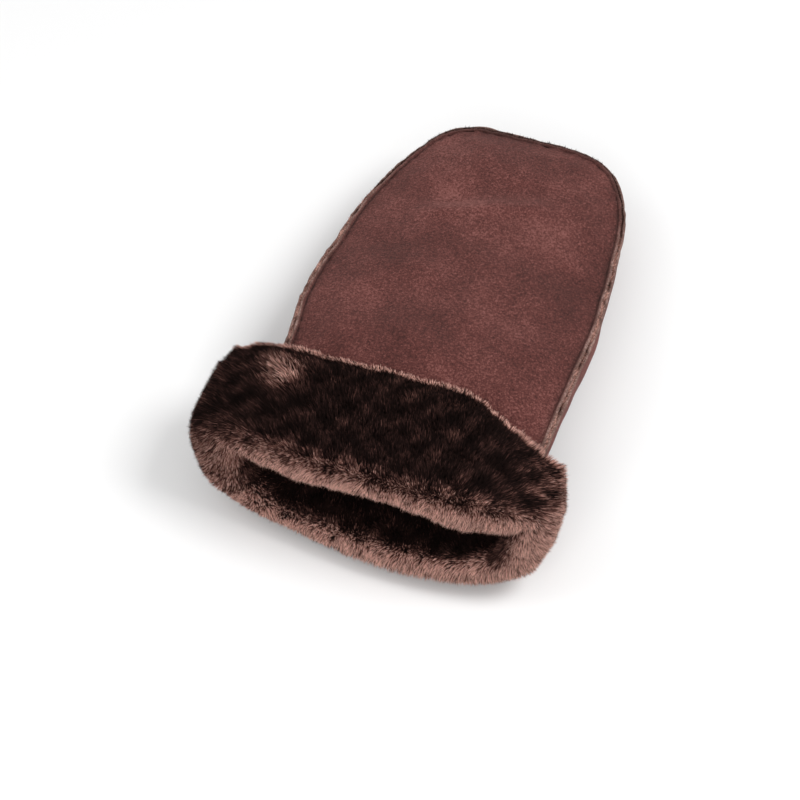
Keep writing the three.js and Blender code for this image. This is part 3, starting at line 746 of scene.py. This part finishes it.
def under_cuff(part, share, y):
    """The hand's suede at a place, the way from there through the cuff, and the cuff's stand."""
    wall = hand_point(part, share, y, HIDE)
    top = back_z(0, y) + HIDE
    bottom = palm_seam_z(y) - PALM_BELLY * column("belly", y) - HIDE
    wide = wall[..., 0] / offset_half(y, wall[..., 0], HIDE)
    high = (2 * wall[..., 2] - top - bottom) / (top - bottom)
    way = np.stack([wide ** 3, 0 * wide, high ** 3], -1)
    way = unit(np.sign(way) * np.abs(way) ** (CUFF_POWER / 3))
    back = smooth(y, FRONT_Y, RAW_EDGE_Y)
    left = wall[..., 0] < 0
    beside = lerp(np.where(left, *FOLD_STAND), np.where(left, *EDGE_STAND), back)
    stand = lerp(np.where(way[..., 2] > 0, TOP_STAND, UNDER_STAND), beside, way[..., 0] ** 2)
    return wall, way, stand, wide


def cuff_layer(part, share, stops, lift):
    """A layer of the cuff, from the raw edge along the outside, round the fold, and in to the wall's
    end. lift gives its distance from the cuff skin's suede side, from the turn into the mouth and
    the distance from the raw edge."""
    straight, bend, inside = stops
    _, way, _, wide = under_cuff(part, share, FRONT_Y + 0 * share)
    aside = MOUTH_SETBACK * np.minimum(np.abs(wide), 1) ** SETBACK_POWER
    front_y = FRONT_Y + aside + TOP_SETBACK * smooth(way[..., 2], -0.4, 0.6)
    slant = np.maximum(smooth(wide, 0.35, 1), smooth(-way[..., 2], -0.6, 0.3))
    edge_y = RAW_EDGE_Y - EDGE_SLANT * slant
    bend_y = front_y + CUFF_LAYERS + under_cuff(part, share, front_y)[2] / 2
    out = (np.arange(straight) / straight)[:, None]
    y = lerp(edge_y, bend_y, out)
    wall, way, stand, _ = under_cuff(part + 0 * y.astype(int), share + 0 * y, y)
    outer = wall + way * (stand + lift(0 * y, edge_y - y + 0 * out))[..., None]
    wall, way, stand, _ = under_cuff(part, share, bend_y)
    turn = np.linspace(0, 1, bend + 1)[:, None]
    angle = lerp(np.pi / 2, -np.pi / 2, turn)
    radius = stand / 2 + lift(smooth(turn, 0.5, 1) + 0 * share, edge_y - bend_y + 0 * turn)
    fold = wall + way * (stand / 2 + radius * np.sin(angle))[..., None]
    fold[..., 1] -= radius * np.cos(angle)
    wall, way, _, _ = under_cuff(part, share, WALL_END_Y - TOUCH + 0 * share)
    end = wall - way * lift(1 + 0 * share, edge_y - WALL_END_Y)[..., None]
    within = np.stack([lerp(fold[-1], end, s) for s in np.linspace(0, 1, inside + 1)[1:]])
    layer = np.concatenate([outer, fold, within])
    layer[..., 2] = np.maximum(layer[..., 2], 0)
    return layer


def ring_piece(name, inner, outer, material, node, values):
    """A closed ring round the hand between two layers with the same rows."""
    rows, around = inner.shape[:2]
    count = rows * around
    points = np.concatenate([inner.reshape(-1, 3), outer.reshape(-1, 3)])
    k = np.arange(around)
    after = (k + 1) % around
    last = (rows - 1) * around
    cells = [
        ring_cells(0, rows, around)[:, ::-1],
        ring_cells(count, rows, around),
        np.stack([after, after + count, k + count, k], -1),
        np.stack([last + k + count, last + after + count, last + after, last + k], -1),
    ]
    return sew(name, points, cells, material, node, values)


SKIN_STOPS = (24, 16, 2)
part, share = places_round(BACK_PLACES, SIDE_PLACES)
skin_in, skin_out = (cuff_layer(part[::2], share[::2], SKIN_STOPS, lambda turned, back: lift + 0 * back)
                     for lift in (0, HIDE))
near_edge = np.zeros(skin_in.shape[:2])
near_edge[0] = 1
raw = np.concatenate([near_edge.ravel(), near_edge.ravel()])
# Painted shade on the cuff skin's wool side, under the pile.
crease_shade = np.concatenate([np.zeros(near_edge.size), 1 - near_edge.ravel()])
ring_piece("cuff_skin", skin_in, skin_out, suede, "cuff_hide", {"raw": raw, "crease_shade": crease_shade})


# Cuff wool
# Dense clipped sheep's wool on the turned cuff: a felted bed, painted near black with the shade deep in
# the pile, and fine loose locks, painted near black with shade where they stand up and are seen end-on,
# and pale pinkish brown, partly painted light and partly their own pale tips, where they lie over the
# lips, the ends and the raw edge.
EDGE_PILE = 5
EDGE_TAPER = 14
WOOL_STOPS = (60, 40, 14)
FOLD_ROW = WOOL_STOPS[0]
FOLD_END = WOOL_STOPS[0] + WOOL_STOPS[1]
LOWER_TRIM = 0.55
CORNER_TRIM = (0.55, 0.65)
HANG_TRIM = 0.35
HANG_MIDDLE = 0.22
HANG_RIGHT = 0.9
ROOT_DEPTH = 0.3
BED_DEPTH = 0.5
BED_UNEVEN = 0.5
# The bed is painted near black with the shade deep between the locks, and paler where it is pressed
# flat on the surface.
BED_SHADE = 0.1
PRESSED_BELOW = 3
PRESSED_SHADE = 0.3
PRESSED_DENSITY = 0.12
MOUTH_DENSITY = 0.35
EDGE_DENSITY = 2.2
LOCK_WIDTHS = (0.22, 0.38)
LOCK_ENDS = (-1.1, 0.45)
END_GROWTH = (2.2, 1.4)
SWEEP = 0.55
SCATTER = 0.42
LOCKS_TO_A_TUFT = 9
TUFT_PULL = (0.05, 0.45)
TUFT_CONTRAST = 0.18
EDGE_PUSH = 3
PARTING = np.array([-50.5, -67.5, 47.0])
PARTING_REACH = 8.0
PARTING_PUSH = 1.6
PARTING_PALE = 0.62
# How pale the locks are painted: DARKEST where a lock stands up, in painted shade, and paler by up to
# PALE_RANGE where it lies over, less the painted shade at the ends and in the mouth.
DARKEST = 0.185
PALE_RANGE = 0.9
LEFT_END_SHADE = 0.5
RIGHT_LOW_SHADE = 0.22
MOUTH_SHADE = 0.85
UPPER_PALE = 0.36
STRANDS = [0.3, 0.72, 1.12, 1.6]
STRAND_SHARES = [0.26, 0.32, 0.28, 0.14]
# Roots are painted darker than tips: partly the wool's own two-tone colour, partly painted shade deep
# in the pile.
ROOT_SHADE = (0.32, 0.72)
TIP_BRIGHTER = 1.12
WOOL_COLOURS = [
    (0.0, (0.0045, 0.0022, 0.0018)),
    (0.20, (0.0170, 0.0082, 0.0070)),
    (0.40, (0.0880, 0.0390, 0.0320)),
    (0.62, (0.3700, 0.1780, 0.1430)),
    (1.0, (0.9200, 0.5550, 0.4600)),
]


def wool_depth(turned, back):
    """The wool's depth: the cuff's outside, the lining's in the mouth, and less at the raw edge."""
    full = lerp(TOUCH + CUFF_PILE, LINING_EASE + LINING_PILE, turned)
    return lerp(TOUCH + EDGE_PILE, full, smooth(back, 0, EDGE_TAPER))


def wool_layer(depth):
    """The layer at a share of the wool's depth."""
    return cuff_layer(part, share, WOOL_STOPS,
                      lambda turned, back: HIDE + TOUCH + depth * (wool_depth(turned, back) - TOUCH))


def wool_finish(name):
    """Wool: the shade that each lock carries from root to tip, with fine uneven streaks."""
    material, surface, start = finish_for(name, 0.85, 0.0, (1, 1, 1))
    surface.inputs["Specular IOR Level"].default_value = 0.06
    place = start.add("TexCoord", out="Object")
    fine = place.noise(1500, 2, 0.6)
    tone = start.reading("shade") + (fine - 0.5) * 0.16
    colour = start.add("ValToRGB", {"Fac": tone}, stops=WOOL_COLOURS)
    connect(material, colour, surface.inputs["Base Color"])
    bump = start.add("Bump", {"Height": fine, "Strength": 0.3, "Distance": 0.0003})
    connect(material, bump, surface.inputs["Normal"])
    return material


def sampled(grid, row, place):
    """Points of a grid between its rows and between its places, which close into a ring."""
    r0, k0 = np.floor(row).astype(int), np.floor(place).astype(int)
    r1, k1 = np.minimum(r0 + 1, grid.shape[0] - 1), (k0 + 1) % grid.shape[1]
    r, k = (row - r0)[:, None], (place - k0)[:, None]
    return lerp(lerp(grid[r0, k0], grid[r0, k1], k), lerp(grid[r1, k0], grid[r1, k1], k), r)


def locks(name, root, tip, width, shade, material, rng):
    """Closed three-sided spikes from root to tip, each with its own cell of a UV map named OFBake.
    shade holds the root's and the tip's number of each lock."""
    count = len(root)
    along = unit(tip - root)
    side = unit(np.cross(along, rng.normal(size=(count, 3))))
    other = np.cross(along, side)
    turns = np.arange(3) * 2 * np.pi / 3
    ring = side[:, None] * np.cos(turns)[:, None] + other[:, None] * np.sin(turns)[:, None]
    points = np.concatenate([root[:, None] + ring * width[:, None, None], tip[:, None]], 1)
    points[..., 2] = np.maximum(points[..., 2], 0.05)
    first = 4 * np.arange(count)[:, None, None]
    faces = first + np.array([[0, 1, 3], [1, 2, 3], [2, 0, 3], [2, 1, 0]])
    values = np.repeat(shade, [3, 1], axis=1)
    piece = sew(name, points.reshape(-1, 3), [faces.reshape(-1, 3)], material, None,
                {"shade": values.ravel()})
    grid = int(np.ceil(np.sqrt(count)))
    corner = np.stack([np.arange(count) % grid, np.arange(count) // grid], -1)
    u = 0.06 + 0.88 * np.arange(4) / 3
    sides = [[[u[i], 0.28], [u[i + 1], 0.28], [(u[i] + u[i + 1]) / 2, 0.95]] for i in range(3)]
    template = np.array([*sides, [[0.1, 0.05], [0.5, 0.2], [0.9, 0.05]]])
    cells = (corner[:, None, None] + template) / grid
    layer = piece.data.uv_layers.new(name="OFBake")
    layer.uv.foreach_set("vector", cells.astype(np.float32).ravel())
    return piece


wool = wool_finish("sheep's wool")
wool_in = wool_layer(0.0)


def kept_depth():
    """What the wool keeps of its depth: less on the left of the lower lip, less where the upper lip
    hangs into the mouth on the left and in the middle, more on the right, less in the corners."""
    row = np.arange(len(wool_in))[:, None]
    _, way, _, wide = under_cuff(part, share, FRONT_Y + 0 * share)
    in_mouth = smooth(row, FOLD_ROW + 24, FOLD_END)
    below = smooth(-way[:, 2], -0.3, 0.4) * smooth(-wide, -0.25, 0.7)
    above = smooth(way[:, 2], 0.1, 0.6)
    hang = HANG_TRIM + HANG_MIDDLE * smooth(wide, -0.5, -0.05) - HANG_RIGHT * smooth(wide, 0.2, 0.75)
    front = smooth(row, FOLD_ROW - 10, FOLD_ROW + 10) * (1 - in_mouth)
    hanging = smooth(row, FOLD_ROW + 12, FOLD_END - 4)
    corner = smooth(np.abs(wide), 0.55, 0.95) * np.where(wide < 0, *CORNER_TRIM)
    return 1 - LOWER_TRIM * front * below - hang * hanging * above - in_mouth * corner


wool_kept = kept_depth()


def trimmed(depth):
    """A layer of the wool, shorter on the left of both lips and in the mouth's corners."""
    return wool_in + (wool_layer(depth) - wool_in) * wool_kept[..., None]


deep, full_depth = trimmed(ROOT_DEPTH), trimmed(1.0)
bed = trimmed(BED_DEPTH)
bed = bed + unit(full_depth - deep) * (BED_UNEVEN * ripple(bed, 6, 51))[..., None]
bed[..., 2] = np.maximum(bed[..., 2], 0.1)
coarse_in, coarse_bed = wool_in[::2, ::2], bed[::2, ::2]
pressed = smooth(PRESSED_BELOW - coarse_bed[..., 2], 0, 2)
# Painted shade: the bed is near black, less so where it is pressed flat.
bed_shade = BED_SHADE + 0.05 * ripple(coarse_bed, 9, 52).ravel() + PRESSED_SHADE * pressed.ravel()
bed_shade = np.concatenate([np.zeros(bed_shade.size), bed_shade])
ring_piece("cuff_wool_bed", coarse_in, coarse_bed, wool, "cuff_pile", {"shade": bed_shade})

LOCK_GROUPS = {
    "cuff_wool_crown": (43000, lambda row, part: (part == 0) & (row < FOLD_ROW + 5)),
    "cuff_wool_upper_lip": (36000, lambda row, part: (part == 0) & (row >= FOLD_ROW + 5)),
    "cuff_wool_lower_lip": (38000, lambda row, part: part == 2),
    "cuff_wool_ends": (46000, lambda row, part: (part == 1) | (part == 3)),
}


def lock_places(count, chosen, rng):
    """Rows and places drawn at random by each cell's area times the wool's density, which is thin
    where it is pressed on the surface and deep in the mouth, and high at the raw edge."""
    across = np.linalg.norm(np.roll(full_depth, -1, 1) - full_depth, axis=-1)
    along = np.linalg.norm(np.diff(full_depth, axis=0, append=full_depth[-1:]), axis=-1)
    rows = np.arange(len(full_depth))[:, None] + 0 * part
    weight = across * along * chosen(rows, part[None] + 0 * rows)
    weight = weight * np.where(full_depth[..., 2] < PRESSED_BELOW, PRESSED_DENSITY, 1)
    weight = weight * np.where(rows > FOLD_END, MOUTH_DENSITY, 1) * np.where(rows < 2, EDGE_DENSITY, 1)
    weight[-1] = 0
    pick = rng.choice(weight.size, count, p=weight.ravel() / weight.sum())
    return pick // weight.shape[1] + rng.random(count), pick % weight.shape[1] + rng.random(count)


def tuft_leaders(root, rng):
    """The lock that each lock is drawn to: the nearest of a few picked at random."""
    leaders = rng.choice(len(root), len(root) // LOCKS_TO_A_TUFT, replace=False)
    tree = KDTree(len(leaders))
    for i, spot in enumerate(root[leaders]):
        tree.insert(spot, i)
    tree.balance()
    return leaders[[tree.find(spot)[1] for spot in root]]


def paleness(row, root, out, ends, low):
    """Dark where a lock stands up, paler the more its way out leans down or sideways, a little paler
    just before the fold of the upper lip, and dark again in the mouth. The dark is painted shade: the
    pile's depth seen end-on, and the shade in the mouth, at the left end and low on the right end; the
    pale is partly painted light and partly the wool's own pale tips."""
    # Painted light and shade by each lock's way against a fixed direction: dark pointing up, pale
    # pointing down.
    lean = 0.94 * out[:, 2] + 0.1 * out[:, 1] + np.where(out[:, 0] < 0, -0.45, 0.3) * out[:, 0]
    upright = np.where(low, 1.34 - 0.3 * smooth(root[:, 0], -30, 50), 1.04)
    over = smooth(upright - lean, 0, 1.08)
    before_fold = UPPER_PALE * smooth(row, FOLD_ROW - 5, FOLD_ROW + 9) * (1 - ends) * (1 - low)
    over = np.maximum(over, before_fold)
    # Painted shade in the mouth, starting earlier at the ends.
    right_end = ends & (root[:, 0] > 0)
    shade_start = np.where(ends, FOLD_ROW + np.where(right_end, 15, 22), FOLD_END - 10)
    shade_end = np.where(ends, FOLD_END - np.where(right_end, 12, 6), FOLD_END + 5)
    shaded = smooth(row, shade_start, shade_end)
    # Painted shade at the left end and low on the right end.
    left_end = smooth(-root[:, 0], 42, 66)
    right_low = smooth(root[:, 0], 20, 55) * smooth(-out[:, 2], -0.2, 0.4)
    most = PALE_RANGE - LEFT_END_SHADE * left_end - RIGHT_LOW_SHADE * right_low
    return DARKEST + most * over * (1 - MOUTH_SHADE * shaded)


def cuff_locks(name, count, chosen, seed):
    """Locks from the roots' layer to the full depth, leaning together in a smooth field, pushed away
    from the parting and the raw edge's right end, and drawn into small tufts."""
    rng = np.random.default_rng(seed)
    row, place = lock_places(count, chosen, rng)
    root, tip = sampled(deep, row, place), sampled(full_depth, row, place)
    out = unit(tip - root)
    side = part[np.floor(place).astype(int)]
    ends, low = np.isin(side, (1, 3)), side == 2
    longer = ends * np.abs(out[:, 0]) * np.where(root[:, 0] < 0, *END_GROWTH)
    tip = tip + out * (longer + rng.uniform(*LOCK_ENDS, count))[:, None]
    sweep = np.stack([ripple(root, 9, seed + k) for k in (1, 2, 3)], -1)
    sweep = sweep - out * np.sum(sweep * out, -1, keepdims=True)
    tip = tip + sweep * SWEEP + rng.normal(size=(count, 3)) * SCATTER
    from_parting = root - PARTING
    parted = np.exp(-np.sum(from_parting ** 2, -1) / PARTING_REACH ** 2)
    tip = tip + unit(from_parting) * (PARTING_PUSH * parted)[:, None]
    leader = tuft_leaders(root, rng)
    tip = lerp(tip, tip[leader], rng.uniform(*TUFT_PULL, count)[:, None])
    # 1 on the first row, the raw edge, and 0 from the fourth on.
    edge = smooth(2.6 - row * 0.85, 0, 1.6)
    tip[:, 1] += EDGE_PUSH * edge * smooth(root[:, 0], 35, 55) * (1 - smooth(root[:, 0], 60, 74))
    pale = np.maximum(paleness(row, root, out, ends, low), edge) + PARTING_PALE * parted
    tuft = rng.normal(size=count)[leader]
    strand = rng.choice(STRANDS, count, p=STRAND_SHARES)
    pale = pale * strand * (1 + TUFT_CONTRAST * tuft) + 0.06 * ripple(root, 8, 61)
    pale = np.clip(pale, 0.03, 0.98)
    width = rng.uniform(*LOCK_WIDTHS, count)
    shade = np.stack([pale * lerp(*ROOT_SHADE, parted), pale * TIP_BRIGHTER], -1)
    return locks(name, root, tip, width, shade, wool, rng)


for seed, (name, (count, chosen)) in enumerate(LOCK_GROUPS.items(), 100):
    cuff_locks(name, count, chosen, seed * 10)


# Lining wool
# The same wool inside the hand, clipped shorter. It is painted near black, the shade of the hollow that
# shows between the cuff's lips.
LINING_ROWS = 54
LINING_PLACES = (48, 12)
LINING_SHADE = 0.08
LINING_LOCKS = 11000
LOCKS_REACH = 70
LOCKS_FROM = 1.8
LOCKS_TO = 0.2
LOCKS_SHADE = 0.3
LOCK_ROWS = 40


def lining_wool():
    """A closed cup: rings of the hand's section inside the hide, from the mouth to the finger tips
    and back again deeper in."""
    part, share = places_round(*LINING_PLACES)
    rows = lerp(TIP_Y, WALL_END_Y, (1 - np.arange(LINING_ROWS + 1) / LINING_ROWS) ** 1.8)[::-1]
    grid = rows[:, None] + 0 * share
    layers = [hand_point(part + 0 * grid.astype(int), share + 0 * grid, grid, -depth)
              for depth in (LINING_EASE + LINING_PILE, LINING_EASE)]
    inner = layers[0] + unit(layers[0] - layers[1]) * (0.4 * ripple(layers[0], 6, 71))[..., None]
    rings = np.concatenate([inner, layers[1][::-1]])
    count, around = rings.shape[:2]
    k = np.arange(around)
    after = (k + 1) % around
    last = (count - 1) * around
    points = np.concatenate([rings.reshape(-1, 3), rings[0].mean(0)[None], rings[-1].mean(0)[None]])
    fans = [np.stack([np.full(around, count * around), after, k], -1),
            np.stack([np.full(around, count * around + 1), last + k, last + after], -1)]
    # Painted shade: the lining is near black, the shade inside the hand.
    shade = np.concatenate([LINING_SHADE + 0.05 * ripple(rings, 8, 72).ravel(), [0, 0]])
    cells = [ring_cells(0, count, around), *fans]
    return sew("lining_wool", points, cells, wool, "lining_pile", {"shade": shade})


cut_thumb_way(lining_wool())


def lining_locks():
    """Short locks on the first stretch of the lining, seen through the mouth."""
    rng = np.random.default_rng(91)
    part, share = places_round(*LINING_PLACES)
    rows = np.linspace(WALL_END_Y, WALL_END_Y + LOCKS_REACH, LOCK_ROWS)[:, None] + 0 * share
    low, high = (hand_point(part + 0 * rows.astype(int), share + 0 * rows, rows, -LINING_EASE - depth)
                 for depth in (LINING_PILE - LOCKS_FROM, LINING_PILE + LOCKS_TO))
    row = rng.uniform(0, LOCK_ROWS - 1.1, LINING_LOCKS)
    place = rng.uniform(0, len(share), LINING_LOCKS)
    root, tip = sampled(low, row, place), sampled(high, row, place)
    tip = tip + np.stack([ripple(root, 9, 92 + k) for k in range(3)], -1) * 0.7
    tip = tip + rng.normal(size=tip.shape) * 0.3 + [0, -0.6, 0]
    # Painted shade: the lining's locks are dark with the shade of the mouth, and their roots at half
    # the tips' paleness are painted shade deep in the pile.
    pale = LOCKS_SHADE + 0.05 * ripple(root, 8, 95) + 0.05 * rng.normal(size=LINING_LOCKS)
    pale = np.clip(pale, 0.03, 1)
    width = rng.uniform(0.24, 0.4, LINING_LOCKS)
    return locks("lining_wool_locks", root, tip, width, np.stack([pale * 0.5, pale], -1), wool, rng)


lining_locks()


# Seam wool
# Trimmed wool that stands out between the two cut edges of each seam, as short pale tufts.
SEAM_TUFTS = 7000
BELOW_EDGE = 0.9
TUFT_ASIDE = 0.7
TUFT_LENGTHS = (0.8, 1.7)
TUFT_LEAN = 0.4
TUFT_WIDTHS = (0.14, 0.26)
TUFT_PALE = 0.66
TIPS_DARKER = 0.6


def seam_wool(name, line, seed):
    """Locks rooted at random along the seam's root, just below the lip's edge, that rise along the
    lip and lean at random."""
    rng = np.random.default_rng(seed)
    gaps = np.linalg.norm(np.diff(line["root"], axis=0), axis=-1)
    far = np.concatenate([[0], np.cumsum(gaps)])
    start = np.interp(rng.uniform(0, far[-1] * 0.9999, SEAM_TUFTS), far, np.arange(len(far)))
    low = np.floor(start).astype(int)
    share = (start - low)[:, None]
    root, along, over = (
        lerp(line[key][low], line[key][low + 1], share) for key in ("root", "along", "over"))
    high = lerp(line["high"][low], line["high"][low + 1], share[:, 0])[:, None]
    aside = rng.uniform(-TUFT_ASIDE, TUFT_ASIDE, SEAM_TUFTS)[:, None]
    root = root + along * (high - BELOW_EDGE) + over * aside
    tip = root + along * rng.uniform(*TUFT_LENGTHS, SEAM_TUFTS)[:, None]
    tip = tip + rng.normal(size=(SEAM_TUFTS, 3)) * TUFT_LEAN
    pale = TUFT_PALE + 0.18 * rng.normal(size=SEAM_TUFTS) + 0.15 * ripple(root, 12, seed)
    pale = np.clip(pale, 0.2, 1) * (1 - TIPS_DARKER * smooth(root[:, 1], 45, 85))
    width = rng.uniform(*TUFT_WIDTHS, SEAM_TUFTS)
    # Roots at seven tenths of the tips' paleness: partly the wool's own tone, partly painted shade
    # between the cut edges.
    return locks(name, root, tip, width, np.stack([pale * 0.7, pale], -1), wool, rng)


seam_wool("back_seam_wool", back_line, 81)
seam_wool("palm_seam_wool", palm_line, 82)


# Floor, light and camera
# A pale floor under soft studio light, seen from the photograph's height and side.
FLOOR_HALF = 20
FLOOR_BELOW = 0.0002
FLOOR_SHADE = (0.86, 0.86, 0.86, 1)
WORLD_STRENGTH = 0.62
ELEVATION = np.radians(49)
AZIMUTH = np.radians(18.5)
ROLL = np.radians(1)
AIM = np.array([-2.2, -53.5, 33]) * MM
DISTANCE = 1.0
LENS = 108
SENSOR = 36

floor_mesh = bpy.data.meshes.new("floor")
floor_corners = [
    (x * FLOOR_HALF, y * FLOOR_HALF, -FLOOR_BELOW)
    for x, y in ((-1, -1), (1, -1), (1, 1), (-1, 1))
]
floor_mesh.from_pydata(floor_corners, [], [(0, 1, 2, 3)])
floor = added("floor", floor_mesh)
pale_floor = bpy.data.materials.new("pale floor")
pale_floor.use_nodes = True
floor_surface = pale_floor.node_tree.nodes["Principled BSDF"]
floor_surface.inputs["Base Color"].default_value = FLOOR_SHADE
floor_surface.inputs["Roughness"].default_value = 0.9
floor_mesh.materials.append(pale_floor)

world = bpy.data.worlds.new("studio")
world.use_nodes = True
sky = world.node_tree.nodes["Background"]
sky.inputs["Color"].default_value = (1, 1, 1, 1)
sky.inputs["Strength"].default_value = WORLD_STRENGTH
bpy.context.scene.world = world
bpy.context.scene.view_settings.view_transform = "Standard"

LAMPS = [  # name, place in metres, size in metres, watts
    ("key", (0.85, 0.15, 1.2), 0.7, 12),
    ("fill", (-0.9, -0.3, 0.9), 0.8, 2.5),
    ("front", (0.1, -1.1, 0.7), 0.8, 5.5),
]
for name, spot, size, power in LAMPS:
    light = bpy.data.lights.new(name, "AREA")
    light.size = size
    light.energy = power
    lamp = added(name, light)
    lamp.location = spot
    lamp.rotation_euler = Vector(spot).to_track_quat("Z", "Y").to_euler()

back = np.array([
    np.sin(AZIMUTH) * np.cos(ELEVATION),
    -np.cos(AZIMUTH) * np.cos(ELEVATION),
    np.sin(ELEVATION),
])
level = np.array([np.cos(AZIMUTH), np.sin(AZIMUTH), 0])
upward = np.cross(back, level)
right = np.cos(ROLL) * level + np.sin(ROLL) * upward
upward = -np.sin(ROLL) * level + np.cos(ROLL) * upward
camera_data = bpy.data.cameras.new("camera")
camera_data.lens = LENS
camera_data.sensor_width = SENSOR
camera = added("camera", camera_data)
matrix = np.eye(4)
matrix[:3, 0], matrix[:3, 1], matrix[:3, 2], matrix[:3, 3] = right, upward, back, AIM + DISTANCE * back
camera.matrix_world = Matrix(matrix.tolist())
bpy.context.scene.camera = camera
